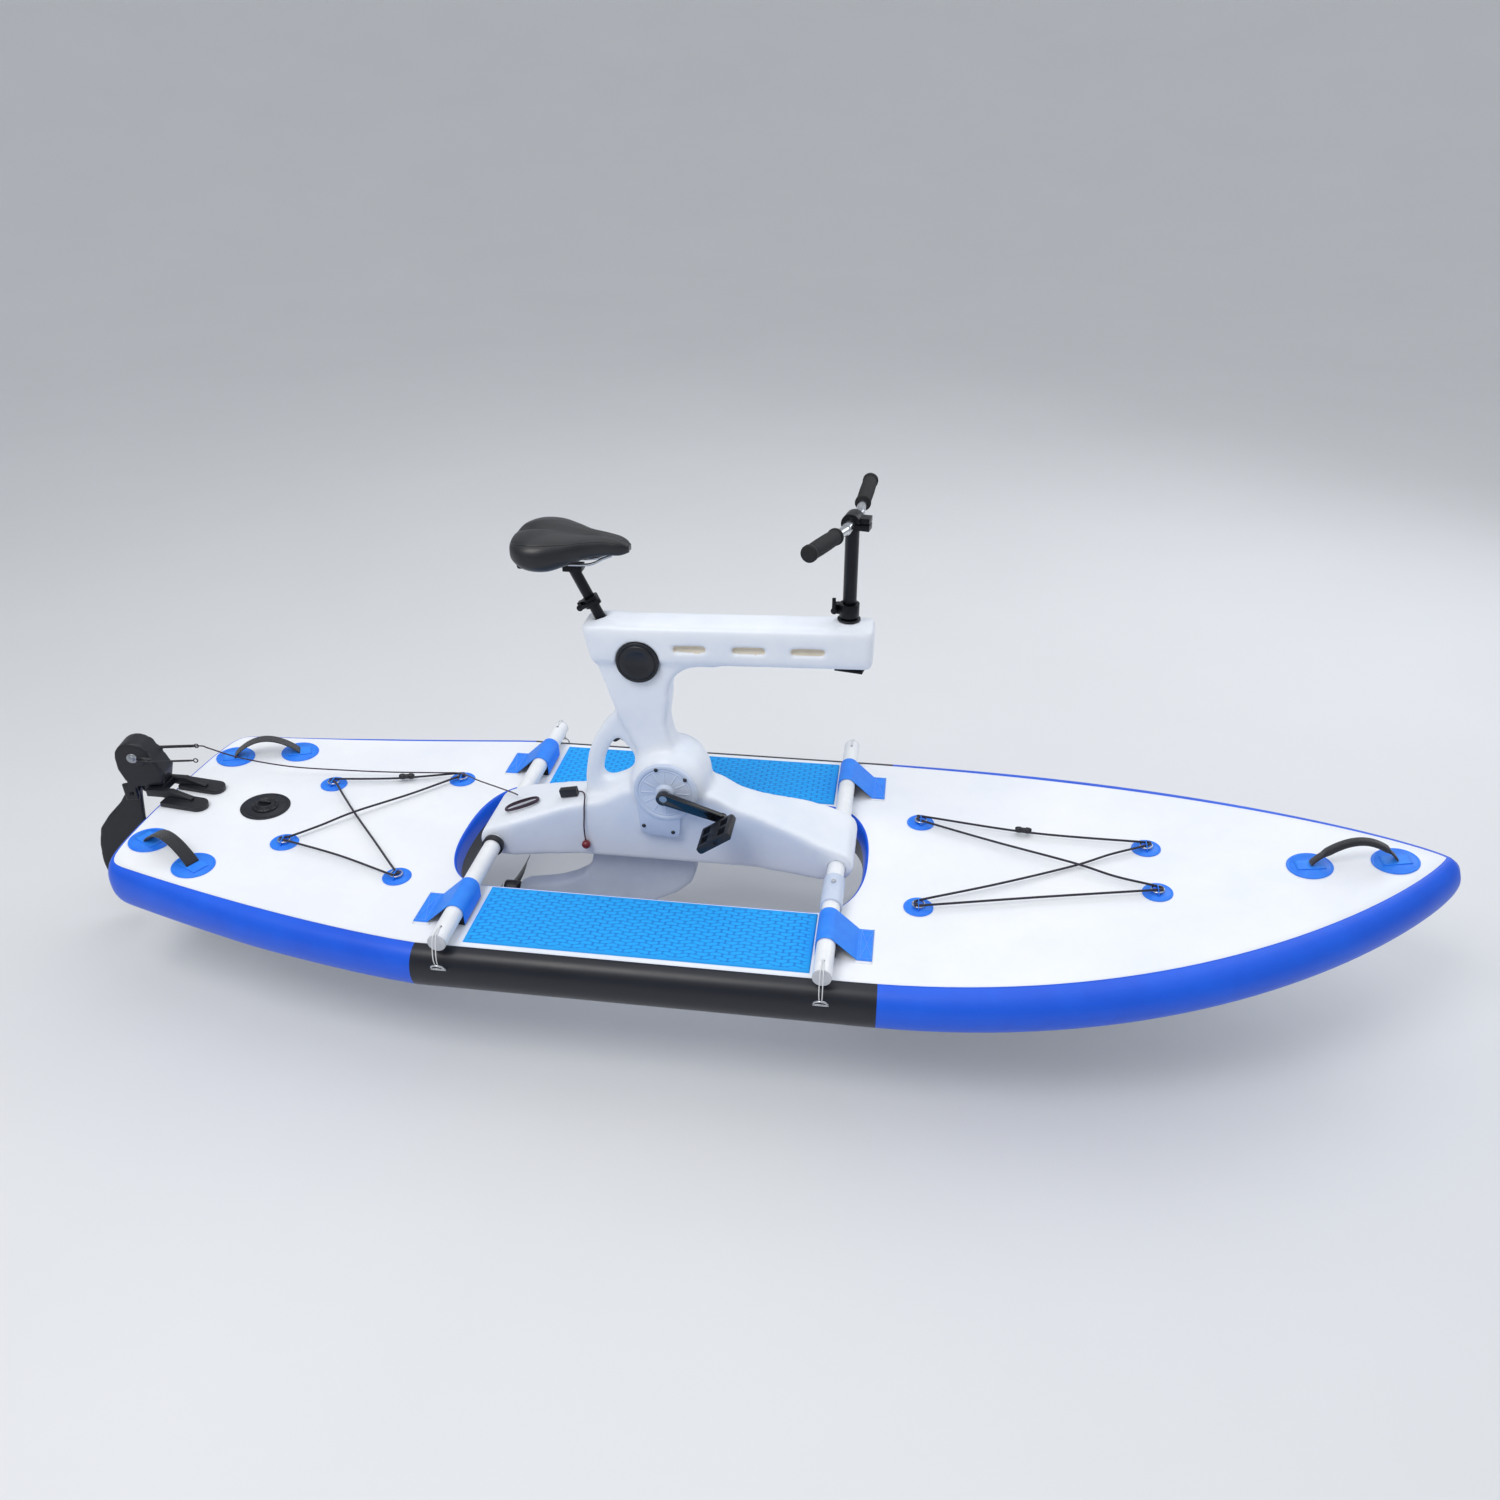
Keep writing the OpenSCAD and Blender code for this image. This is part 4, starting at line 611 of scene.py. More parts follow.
def lacing(corners, way):
    """The cord's route: ring to ring in a figure of eight, round the outside of each ring's bar."""
    (x0, y0), (x1, y1) = corners
    xm = (x0 * y1 + x1 * y0) / (y0 + y1)
    d = way * MM

    def at(x, y, rise=0.0):
        return (x, y, BOARD_T + float(rocker(x)) + CORD_LIFT + rise)

    half = [at(x0, y0 + 0.009), at(x0 + 9 * d, y0), at(x0 - 14 * d, y0 - 0.016), at((x0 + xm) / 2, y0 / 2),
            at(xm, 0, 0.006), at((x1 + xm) / 2, -y1 / 2), at(x1 + 14 * d, -y1 + 0.012), at(x1 - 9 * d, -y1),
            at(x1, -y1 - 0.009), at(x1 + 16 * d, -y1 - 0.010), at((x0 + x1) / 2, -(y0 + y1) / 2),
            at(x0 - 16 * d, -y0 - 0.009)]
    back = [(x, -y, z) for x, y, z in half]
    back[4] = at(xm, 0, -0.005)
    return half + back


def build_bungee(node, corners, way, bead_x):
    """The laced shock cord, and the waisted joiner on its outer run at bead_x."""
    path = spline(lacing(corners, way), 12, closed=True)
    put(node + "_cord", cord_mesh(node, path, 0.0062, 12, closed=True), SHOCK_CORD, "hull", node)
    (x0, y0), (x1, y1) = corners
    f = (bead_x - x0) / (x1 - x0)
    centre = np.array([bead_x, y0 + f * (y1 - y0) + 0.009, BOARD_T + float(rocker(bead_x)) + CORD_LIFT])
    axis = unit(np.array([x1 - x0, y1 - y0, float(rocker(x1) - rocker(x0))]))
    profile = [(0.0032, -0.022), (0.0062, -0.022), (0.0085, -0.017), (0.009, -0.008), (0.0072, -0.005),
               (0.0072, 0.005), (0.009, 0.008), (0.0085, 0.017), (0.0062, 0.022), (0.0032, 0.022)]
    put(node + "_joiner", lathe(node + "_joiner", [(profile, centre, axis)], 24), BLACK_PLASTIC, "hull")


build_bungee("bungee_aft", AFT_CORNERS, 1, -0.850)
build_bungee("bungee_fore", FORE_CORNERS, -1, 0.960)


# ---------------------------------------------------------------- carry handles
BOW_PATCHES = [(1.658, 0.0), (1.855, 0.0)]
STERN_PATCHES = [(-1.400, 0.224), (-1.232, 0.300)]
WEBBING_UV = (0.004, 0.003)


def arch(a, b, rise, lift, steps=48):
    """Half a sine wave, a little squared, over the line between two feet, with flat tails past them."""
    t = np.linspace(0, 1, steps)
    x = a[0] + (b[0] - a[0]) * t
    y = a[1] + (b[1] - a[1]) * t
    return np.stack([x, y, BOARD_T + rocker(x) + lift + rise * np.sin(math.pi * t) ** 0.8], -1)


def build_handles():
    """Welded patches with webbing feet, the bow's padded grip and the stern's flat straps. The bow grip's section
    swells from a strap to a tube over a twentieth of its length."""
    patches = [disc(x, y, 0.055, 0.0034) for x, y in BOW_PATCHES]
    patches += [disc(x, side * y, 0.055, 0.0034) for x, y in STERN_PATCHES for side in (1, -1)]
    bars("handle_discs", patches, PATCH_BLUE, "hull", "handle_patches", "patches")
    feet = [(x, y, 0.0, 0.019) for x, y in BOW_PATCHES]
    feet += [(x, side * y, side * math.atan2(0.076, 0.168), 0.022) for x, y in STERN_PATCHES for side in (1, -1)]
    grids = []
    for x, y, turn, half in feet:
        centre, ahead, up = deck_frame(x, y)
        along = ahead * math.cos(turn) + Y_AXIS * math.sin(turn)
        path = centre + np.outer(np.linspace(-0.034, 0.034, 9), along) + up * 0.0052
        grids.append(rings(path, squircle(half, 0.0016, 6, 24), up=up))
    bars("handle_feet", grids, STRAP_BLUE, "hull", slot="patches")
    bow = arch(BOW_PATCHES[0], BOW_PATCHES[1], 0.060, 0.0095, 60)
    t = np.linspace(0, 1, len(bow))
    wide = np.where((t > 0.16) & (t < 0.84), 0.0128, 0.0118)[:, None, None]
    thick = (0.0030 + 0.0050 * np.clip(np.minimum(t - 0.10, 0.90 - t) / 0.05, 0, 1))[:, None, None]
    section = squircle(1, 1, 3.0, 28)[None] * np.concatenate([wide, thick], -1)
    bars("bow_grip", [rings(bow, section)], WEBBING, "hull", "bow_handle", "webbing", size=WEBBING_UV)
    straps = []
    for side in (1, -1):
        a, b = ((x, side * y) for x, y in STERN_PATCHES)
        straps.append(rings(arch(a, b, 0.050, 0.0068), squircle(0.0185, 0.0017, 6, 24)))
    bars("stern_webbing", straps, WEBBING, "hull", "stern_handles", "webbing", size=WEBBING_UV)


build_handles()


def build_valve():
    """An inflation valve: a round welded patch, a flanged body, a finned cap and its turning bar."""
    centre, ahead, up = deck_frame(-1.188, 0.0)
    base = centre + up * 0.0009
    patch = [(0.0001, 0), (0.068, 0), (0.068, 0.0012), (0.0665, 0.0021), (0.060, 0.0021), (0.0592, 0.0015),
             (0.0578, 0.0015), (0.057, 0.0021), (0.0001, 0.0021)]
    flange = [(0.0001, 0.002), (0.036, 0.002), (0.0355, 0.005), (0.032, 0.0085), (0.029, 0.009), (0.0285, 0.0075),
              (0.026, 0.0075), (0.0255, 0.0125), (0.0245, 0.0145), (0.021, 0.0150), (0.0205, 0.0138),
              (0.0001, 0.0138)]
    put("valve_patch", lathe("valve_patch", [(patch, base, up)], 72), RAIL_BLACK, "hull", "valve")
    put("valve_body", lathe("valve_body", [(flange, base, up)], 72), BLACK_PLASTIC, "hull")
    bar = base + np.outer(np.linspace(-0.016, 0.016, 9), ahead) + up * 0.0165
    fins = [rings(bar, squircle(0.0032, 0.0032, 4, 20), up=up)]
    for k in range(10):
        a = 2 * math.pi * k / 10
        out = ahead * math.cos(a) + Y_AXIS * math.sin(a)
        fins.append(rings(base + np.outer(np.linspace(0.0285, 0.0345, 4), out) + up * 0.0082,
                          squircle(0.0016, 0.0013, 4, 12), up=up))
    bars("valve_fins", fins, BLACK_PLASTIC, "hull", slot="valve")


build_valve()

# ---------------------------------------------------------------- cross tubes' soft and small pieces
TUBE_X, TUBE_Z, TUBE_R, TUBE_END = 0.463, 0.158, 0.023, 0.530
STRAP_MID, STITCH_PITCH = 0.360, 0.0045


def strap_path(d):
    """A strap's side view: up from the pad, round the tube, then straight down to the deck and flat along it."""
    a = np.radians(np.linspace(180, 42, 28))
    r = TUBE_R + 0.0022
    round_tube = np.stack([r * np.cos(a), r * np.sin(a)], -1)
    start = np.array([[-r, BOARD_T + 0.0066 - TUBE_Z], [-r, BOARD_T + 0.02 - TUBE_Z], [-r, -0.004]])
    deck = BOARD_T + 0.0030 - TUBE_Z
    slope = np.linspace(round_tube[-1], [0.074, deck + 0.001], 9)[1:]
    flat = np.stack([np.linspace(0.080, 0.111, 6), np.full(6, deck)], -1)
    line = np.vstack([start, round_tube, slope, flat])
    return np.stack([d * (TUBE_X + line[:, 0]), 0 * line[:, 0], TUBE_Z + line[:, 1]], -1)


def build_straps():
    """Coated straps over the tubes, each with a stitched cross in a box, a dark lining and a welded foot patch."""
    straps, linings, threads, feet = [], [], [], []
    for d in (1, -1):
        for side in (1, -1):
            path = spline(strap_path(d), 2) + (0, side * STRAP_MID, 0)
            straps.append(rings(path, squircle(1, 1, 7, 28) * (0.0585, 0.0013), up=(1e-3, 0, 1)))
            low = path[-24:-8] - (0, 0, 0.0026)
            linings.append(rings(low, squircle(1, 1, 7, 20) * (0.0555, 0.0009), up=(1e-3, 0, 1)))
            x0, x1 = d * (TUBE_X + 0.081), d * (TUBE_X + 0.109)
            z = BOARD_T + 0.0048
            y0, y1 = side * STRAP_MID - 0.052, side * STRAP_MID + 0.052
            for a, b in (((x0, y0), (x1, y0)), ((x1, y0), (x1, y1)), ((x1, y1), (x0, y1)), ((x0, y1), (x0, y0)),
                         ((x0, y0), (x1, y1)), ((x0, y1), (x1, y0))):
                length = math.dist(a, b)
                count = max(2, int(length / STITCH_PITCH))
                for k in range(count):
                    t = np.array([[(k + 0.12) / count], [(k + 0.5) / count], [(k + 0.88) / count]])
                    xy = np.array(a) + (np.array(b) - np.array(a)) * t
                    dash = np.column_stack([xy, z + np.array([-0.0003, 0.0003, -0.0003])])
                    threads.append(rings(dash, circle(0.00055, 5)))
            foot = np.linspace((d * (TUBE_X + 0.066), side * STRAP_MID, BOARD_T + 0.0008),
                               (d * (TUBE_X + 0.112), side * STRAP_MID, BOARD_T + 0.0008), 5)
            feet.append(rings(foot, squircle(1, 1, 9, 28) * (0.066, 0.0006), up=(0, 0, 1)))
    bars("strap_bands", straps, STRAP_BLUE, "hull", "tube_straps", "strap")
    bars("strap_linings", linings, RAIL_BLACK, "hull", slot="strap")
    bars("strap_threads", threads, STITCH, "hull", slot="strap")
    bars("strap_feet", feet, DECK_WHITE, "hull", slot="strap")


build_straps()


def build_tie_loops():
    """White cord from each tube's end hole down to its ring."""
    loops = []
    hole_y, top = TUBE_END - 0.030, TUBE_Z + TUBE_R + 0.0030
    for x in (-TUBE_X, TUBE_X):
        for s in (-1, 1):
            route = [(x - 0.003, s * 0.551, 0.102), (x - 0.004, s * 0.556, 0.128), (x - 0.004, s * 0.545, 0.172),
                     (x - 0.003, s * 0.531, top + 0.001), (x - 0.001, s * hole_y, top), (x + 0.001, s * hole_y, top),
                     (x + 0.003, s * 0.531, top + 0.001), (x + 0.004, s * 0.545, 0.172), (x + 0.004, s * 0.556, 0.128),
                     (x + 0.003, s * 0.551, 0.102)]
            loops.append(rings(spline(route, 8), circle(0.00125, 8), up=(0.2, s, 0.3)))
    bars("tie_cords", loops, WHITE_LINE, "hull", "tie_loops", "loop_cord", size=(0.002, 0.001))


build_tie_loops()

# ---------------------------------------------------------------- moulded frame and covers
AXLE = np.array([0.012, 0.0, 0.342])


def frame_freedom(p):
    """How far each point of the frame may move: not at all in the tubes' bores and the drum's seats, and little
    round the column's bore, the access caps and the pockets' rims."""
    w = np.ones(len(p))
    for x in (-TUBE_X, TUBE_X):
        r = np.hypot(p[:, 0] - x, p[:, 2] - TUBE_Z)
        w *= np.clip((r - 0.026) / 0.008, 0, 1)
    r = np.hypot(p[:, 0] - AXLE[0], p[:, 2] - AXLE[2])
    face = abs(p[:, 1]) > 0.079
    w *= np.where(face & (r < 0.083), 0.0, 1.0)
    w *= np.clip((np.hypot(p[:, 0] - 0.465, p[:, 1]) - 0.027) / 0.006, 0.05, 1)
    w *= np.where(np.hypot(p[:, 0] + 0.05, p[:, 2] - 0.698) < 0.060, 0.12, 1.0)
    return np.where(in_pocket(p, 0.009) > 0, 0.16, w)


def in_pocket(p, margin):
    """1 for points of the beam's six side pockets, within margin of their rims."""
    inside = np.zeros(len(p))
    for x in (0.081, 0.228, 0.372):
        z = 0.740 + (x - 0.081) * math.tan(math.radians(1.8))
        near = (abs(p[:, 0] - x) < 0.041 + margin) & (abs(p[:, 2] - z) < 0.0085 + margin) & (abs(p[:, 1]) > 0.034)
        inside = np.maximum(inside, near)
    return inside


def build_frame():
    """The moulded frame, with a second colour inside its pockets."""
    piece = rounded("frame_body", 0.0043, 80, [ROTOMOULD, POCKET_BEIGE], "hull", frame_freedom)
    mesh = piece.data
    centre = np.empty(len(mesh.polygons) * 3, np.float32)
    mesh.polygons.foreach_get("center", centre)
    centre = centre.reshape(-1, 3)
    lined = (in_pocket(centre, 0.0005) > 0) & (abs(centre[:, 1]) < 0.0505)
    mesh.polygons.foreach_set("material_index", lined.astype(np.int32))


build_frame()


def build_cover(node, side):
    """A gear cover: a dished disc with twelve radial ribs and a raised rim, over a tab with round corners. The
    disc's height is a sum of narrow ridges in radius and in angle."""
    radius, hub, ribs_round = 0.084, 0.026, 12
    y0, thick = 0.0802, 0.010
    r = np.concatenate([[0.0001, 0.0125], np.linspace(0.0135, radius, 76), [radius]])
    a = np.linspace(0, 2 * math.pi, 240, endpoint=False)
    rr, aa = np.meshgrid(r, a, indexing="ij")

    def ridge(distance, half, rise):
        return rise * np.exp(-(distance / half) ** 2)

    turn = (aa * ribs_round / (2 * math.pi)) % 1.0
    off = np.minimum(turn, 1 - turn) * 2 * math.pi / ribs_round * rr
    ribs = ridge(off, 0.0016, 0.0013) * np.clip((rr - 0.030) / 0.004, 0, 1) * np.clip((0.066 - rr) / 0.003, 0, 1)
    h = thick - 0.0030 + ribs + ridge(rr - 0.067, 0.0016, 0.0014) + 0.0030 * np.clip((rr - 0.070) / 0.004, 0, 1)
    h += 0.009 * np.clip((hub - rr) / 0.006, 0, 1) * (rr > 0.013)
    rim = np.clip((radius - rr) / 0.004, 0, 1)
    h *= np.sqrt(1 - (1 - rim) ** 2) * 0.6 + 0.4
    h[-1] = 0.0
    h[0] = h[1] = 0.004
    top = np.stack([AXLE[0] + rr * np.cos(aa), side * (y0 + h), AXLE[2] + rr * np.sin(aa)], -1)
    disc_mesh = skin("disc", [top], wrap_v=True)
    corner = [(-0.080, -0.020), (-0.075, -0.070), (-0.073, -0.112), (-0.066, -0.126), (-0.052, -0.1325),
              (-0.018, -0.1352), (0.014, -0.1380), (0.028, -0.133), (0.034, -0.122), (0.037, -0.090), (0.040, -0.060)]
    outline = np.vstack([spline(corner, 4), [(0.0, 0.0)]])
    middle = np.array([-0.020, -0.075])
    layers = []
    for inset, rise in ((0.0, 0.0), (0.0, 0.0055), (0.0008, 0.0066), (0.0024, 0.0072)):
        shrunk = outline + unit(middle - outline) * inset
        layers.append(np.stack([AXLE[0] + shrunk[:, 0], np.full(len(shrunk), side * (y0 + rise)),
                                AXLE[2] + shrunk[:, 1]], -1))
    tab_mesh = skin("tab", [np.stack(layers)], wrap_v=True)
    work = bmesh.new()
    for part in (disc_mesh, tab_mesh):
        work.from_mesh(part)
        bpy.data.meshes.remove(part)
    mesh = bpy.data.meshes.new(node + "_ribbed")
    work.to_mesh(mesh)
    work.free()
    put(node + "_ribbed", mesh, MOULD_SHADE, "hull", node)
    mesh.set_sharp_from_angle(angle=math.radians(50))


build_cover("gear_cover_starboard", -1)
build_cover("gear_cover_port", 1)


def build_cap_rings():
    """Threaded access caps: a stepped disc with small ridges round its rim."""
    parts, notches = [], []
    for side in (-1, 1):
        centre = np.array([-0.050, side * 0.0555, 0.698])
        axis = (0, side, 0)
        profile = [(0.0001, -0.006), (0.054, -0.006), (0.054, 0.0005), (0.0528, 0.0018), (0.0472, 0.0018),
                   (0.0462, 0.0002), (0.0452, 0.0002), (0.0442, 0.0030), (0.0425, 0.0036), (0.0300, 0.0036),
                   (0.0285, 0.0024), (0.0001, 0.0024)]
        parts.append((profile, centre, axis))
        for k in range(24):
            a = 2 * math.pi * k / 24
            out = np.array([math.cos(a), 0, math.sin(a)])
            mid = centre + out * 0.0497 + np.array(axis) * 0.0021
            line = mid + np.outer(np.linspace(-0.0022, 0.0022, 4), out)
            notches.append(rings(line, squircle(0.0012, 0.0007, 4, 10), up=axis))
    put("cap_discs", lathe("cap_discs", parts, 96), BLACK_PLASTIC, "hull", "access_caps")
    bars("cap_notches", notches, BLACK_PLASTIC, "hull", slot="access_cap")


build_cap_rings()


def build_screws():
    """Domed cross-recess screws, four in each cover."""
    heads, slots = [], []
    for side in (-1, 1):
        for px, pz, proud in ((-0.021, 0.070, 0.0902), (0.054, 0.046, 0.0902), (-0.062, -0.106, 0.0876),
                              (0.016, -0.121, 0.0876)):
            centre = np.array([AXLE[0] + px, side * proud, AXLE[2] + pz])
            heads.append(([(0.0001, -0.004), (0.0055, -0.004), (0.0055, 0.0008), (0.0050, 0.0019), (0.0036, 0.0027),
                           (0.0001, 0.0030)], centre, (0, side, 0)))
            for along in ((1, 0, 1), (1, 0, -1)):
                path = centre + np.outer(np.linspace(-0.0026, 0.0026, 5), unit(np.array(along, float)))
                slots.append(rings(path + (0, side * 0.00285, 0), squircle(0.0006, 0.0004, 4, 10), up=(0, side, 0)))
    put("screw_heads", lathe("screw_heads", heads, 28), GLOSS_BLACK, "hull", "cover_screws")
    bars("screw_recesses", slots, BLACK_PLASTIC, "hull", slot="screws")


build_screws()

# ---------------------------------------------------------------- saddle
SADDLE_STATIONS = np.array([
    # x, half width, top, underside
    (-0.344, 0.050, 1.000, 0.966), (-0.330, 0.090, 1.014, 0.948), (-0.296, 0.115, 1.024, 0.930),
    (-0.250, 0.113, 1.025, 0.926), (-0.205, 0.088, 1.018, 0.938), (-0.165, 0.056, 1.012, 0.950),
    (-0.120, 0.036, 1.008, 0.956), (-0.085, 0.028, 1.000, 0.957), (-0.064, 0.014, 0.987, 0.964)])
SADDLE_SIDES, SEAM_ANGLE = 96, 0.62


def build_saddle():
    """The saddle: stations from tail to nose, each a rounded section with a groove down its middle, wider and
    deeper at the back. A seam with piping runs down each side, and the underside is drawn up between the edges."""
    st = spline(SADDLE_STATIONS, 10)
    x, half, top, low = (st[:, k][:, None] for k in range(4))
    a = np.linspace(0, 2 * math.pi, SADDLE_SIDES, endpoint=False)[None, :]
    mid, tall = (top + low) / 2, (top - low) / 2
    c, s = np.cos(a), np.sin(a)
    y = half * np.sign(c) * abs(c) ** 0.86
    z = mid + tall * np.sign(s) * abs(s) ** 0.72
    back = np.clip((-0.13 - x) / 0.10, 0, 1)
    upper = np.clip(s * 1.6, 0, 1)
    groove = np.exp(-(y / (0.011 + 0.007 * back)) ** 2) * np.clip((x + 0.345) / 0.03, 0, 1)
    z = z - upper * (0.0035 + 0.0125 * back) * groove
    seam = np.exp(-((a - SEAM_ANGLE) / 0.035) ** 2) + np.exp(-((math.pi - a - SEAM_ANGLE) / 0.035) ** 2)
    z = z - 0.0016 * seam
    y = y * (1 - 0.010 * seam)
    under = np.clip(-s - 0.35, 0, 1) * np.clip(1.1 - abs(y) / (half + 1e-6), 0, 1)
    z = z + 0.010 * under
    grid = np.stack([x + 0 * a, y, z], -1)
    piece = bars("saddle_cover", [grid], LEATHER, "seat", "saddle", "saddle")
    threads = []
    for angle in (SEAM_ANGLE, math.pi - SEAM_ANGLE):
        column = round(angle / (2 * math.pi) * SADDLE_SIDES)
        line = grid[4:-4, column]
        outwards = unit(np.stack([0 * line[:, 0], line[:, 1], line[:, 2] - mid[4:-4, 0]], -1))
        threads.append(rings(line + outwards * 0.0006, circle(0.0009, 8)))
    bars("saddle_piping", threads, GLOSS_BLACK, "seat", slot="saddle")
    bumpers = []
    for side in (1, -1):
        path = spline([(-0.318, side * 0.020, 0.944), (-0.322, side * 0.050, 0.948), (-0.312, side * 0.080, 0.952)], 8)
        bumpers.append(rings(path, squircle(0.009, 0.010, 3, 20)))
    bars("saddle_bumpers", bumpers, BLACK_PLASTIC, "seat", slot="saddle")


build_saddle()


def build_rails():
    """Two bent wire rails under the saddle."""
    wires = []
    for s in (1, -1):
        route = [(-0.108, 0.009 * s, 0.957), (-0.130, 0.012 * s, 0.949), (-0.165, 0.020 * s, 0.936),
                 (-0.240, 0.020 * s, 0.934), (-0.285, 0.030 * s, 0.940), (-0.312, 0.046 * s, 0.956)]
        wires.append(rings(spline(route, 8), circle(0.0035, 14)))
    bars("rail_wires", wires, STEEL, "seat", "saddle_rails", "rails")


build_rails()


# ---------------------------------------------------------------- steering
STEER_REST, BAR_SWEEP, BAR_RISE = math.radians(11), math.radians(7), math.radians(4)
COLUMN = np.array([0.465, 0.0, 0.0])


def steered(p):
    """Turns points of the straight-ahead steering to where it stands at rest."""
    c, s = math.cos(-STEER_REST), math.sin(-STEER_REST)
    return COLUMN + np.asarray(p) @ np.array([[c, -s, 0], [s, c, 0], [0, 0, 1]]).T


def build_grips():
    """Ribbed grips: the radius is a flanged sleeve plus a row of rounded ribs, swelling a little in its middle."""
    grids = []
    for s in (1, -1):
        start = np.array([0, s * 0.060, 1.064])
        out = np.array([-s * math.sin(s * BAR_SWEEP) * math.cos(BAR_RISE),
                        s * math.cos(BAR_SWEEP) * math.cos(BAR_RISE), math.sin(BAR_RISE)])
        length = 0.145
        t = np.linspace(0, length + 0.006, 190)
        ribs = 0.0009 * np.abs(np.sin(math.pi * t / 0.0064)) ** 0.6 * ((t > 0.012) & (t < length - 0.010))
        r = 0.0162 + ribs + 0.0012 * np.sin(math.pi * t / length)
        r = np.where(t < 0.006, 0.0195, r)
        r = np.where(t > length - 0.004, 0.0192, r)
        r[0], r[-1] = 0.0150, 0.0150
        path = start + np.outer(0.206 - length + t, out)
        profile = circle(1, 32)[None] * r[:, None, None]
        grids.append(steered(rings(path, profile, up=(1, 0, 0))))
    bars("grip_sleeves", grids, RUBBER, "handlebar", "grips", "grip")


build_grips()


# ---------------------------------------------------------------- propeller
def build_propeller():
    """Two blades: an aerofoil section at each station of the span, its chord widest past the middle, its pitch
    falling to the tip and its tip rounded."""
    n, m = 44, 36
    f = np.linspace(0, 1, n)[:, None]
    r = 0.018 + 0.1468 * f
    chord = (0.030 + 0.026 * np.sin(math.pi * f**0.8) - 0.016 * f**2) * np.sqrt(np.clip(1 - f**14, 0.004, 1))
    pitch = np.radians(62 - 44 * f**0.7)
    thick = 0.007 - 0.0052 * f
    a = np.linspace(0, 2 * math.pi, m, endpoint=False)[None, :]
    along = -0.5 * np.cos(a)
    across = 0.5 * np.sin(a) * (1 - 0.35 * np.cos(a + math.pi)) * np.sqrt(np.clip(1 - f**14, 0.02, 1))
    c, s = np.cos(pitch), np.sin(pitch)
    x = along * chord * s - across * thick * c
    z = along * chord * c + across * thick * s
    blade = np.stack([x, r + 0 * a, z], -1)
    centre = np.array([-0.474, 0.0, -0.078])
    hub = [(0.0070, -0.022), (0.0205, -0.022), (0.0225, -0.019), (0.0230, -0.010), (0.0230, 0.014), (0.0220, 0.019),
           (0.0190, 0.022), (0.0070, 0.022)]
    grids = [centre + blade, centre + blade * (1, -1, -1), turned(hub, centre, (1, 0, 0), 48)]
    bars("propeller_blades", grids, BLACK_PLASTIC, "propeller", "propeller", "propeller")


build_propeller()


# ---------------------------------------------------------------- rudder line, spare coil, tail and ball
LINE_D, BALL_R, BEND_STATIONS = 0.004, 0.0122, 30
RUDDER_REST = math.radians(11)
RUDDER_AHEAD = np.array([math.cos(RUDDER_REST), math.sin(RUDDER_REST), 0])
RUDDER_ACROSS = np.array([-math.sin(RUDDER_REST), math.cos(RUDDER_REST), 0])
ROD_TIP = np.array([-1.4065, 0.0668, 0.288])
FAR_ROD_TIP = np.array([-1.3630, -0.0103, 0.288])
LINE_ROUTE = np.array([
    (-1384, 72, 286), (-1372, 78, 276), (-1300, 112, 228), (-1180, 154, 184), (-1040, 192, 160), (-900, 220, 147),
    (-760, 238, 145), (-690, 240, 147), (-600, 160, 178), (-510, 80, 212), (-445, 20, 238), (-425, 2, 244)]) * MM
TAIL_ROUTE = np.array([
    (-242, -18, 283), (-232, -24, 287), (-222, -38, 291), (-216, -54, 291), (-214, -66, 284), (-215, -71, 268),
    (-217, -72, 240), (-219, -75, 210), (-218, -78, 182), (-216, -79.2, 166)]) * MM


def build_rudder_line():
    """The line from the rod to the coil: it lies still on the boat, apart from its last stretch between the boat and
    the rudder head, which is a piece of its own that rides on no body."""
    path = spline(np.vstack([ROD_TIP, LINE_ROUTE]), 10)
    fixed, bending = path[BEND_STATIONS:], path[:BEND_STATIONS + 1]
    put("rudder_cord", cord_mesh("rudder_cord", fixed, LINE_D), PURPLE_LINE, "hull", "rudder_line")
    link = place("rudder_link", cord_mesh("rudder_link", bending, LINE_D), PURPLE_LINE)
    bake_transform(link)


def build_rod_eyes():
    """A ring on the tip of each of the rudder head's two rods."""
    eyes = []
    a = np.linspace(0, 2 * math.pi, 28, endpoint=False)
    for tip in (ROD_TIP, FAR_ROD_TIP):
        round_eye = tip + 0.0058 * (np.outer(np.cos(a), RUDDER_AHEAD) + np.outer(np.sin(a), (0, 0, 1)))
        eyes.append(rings(round_eye + RUDDER_AHEAD * 0.004, circle(0.0016, 10), up=RUDDER_ACROSS, closed=True))
    bars("rod_eyes", eyes, BLACK_PLASTIC, "rudder_head", slot="rudder_head", wrap_u=True)


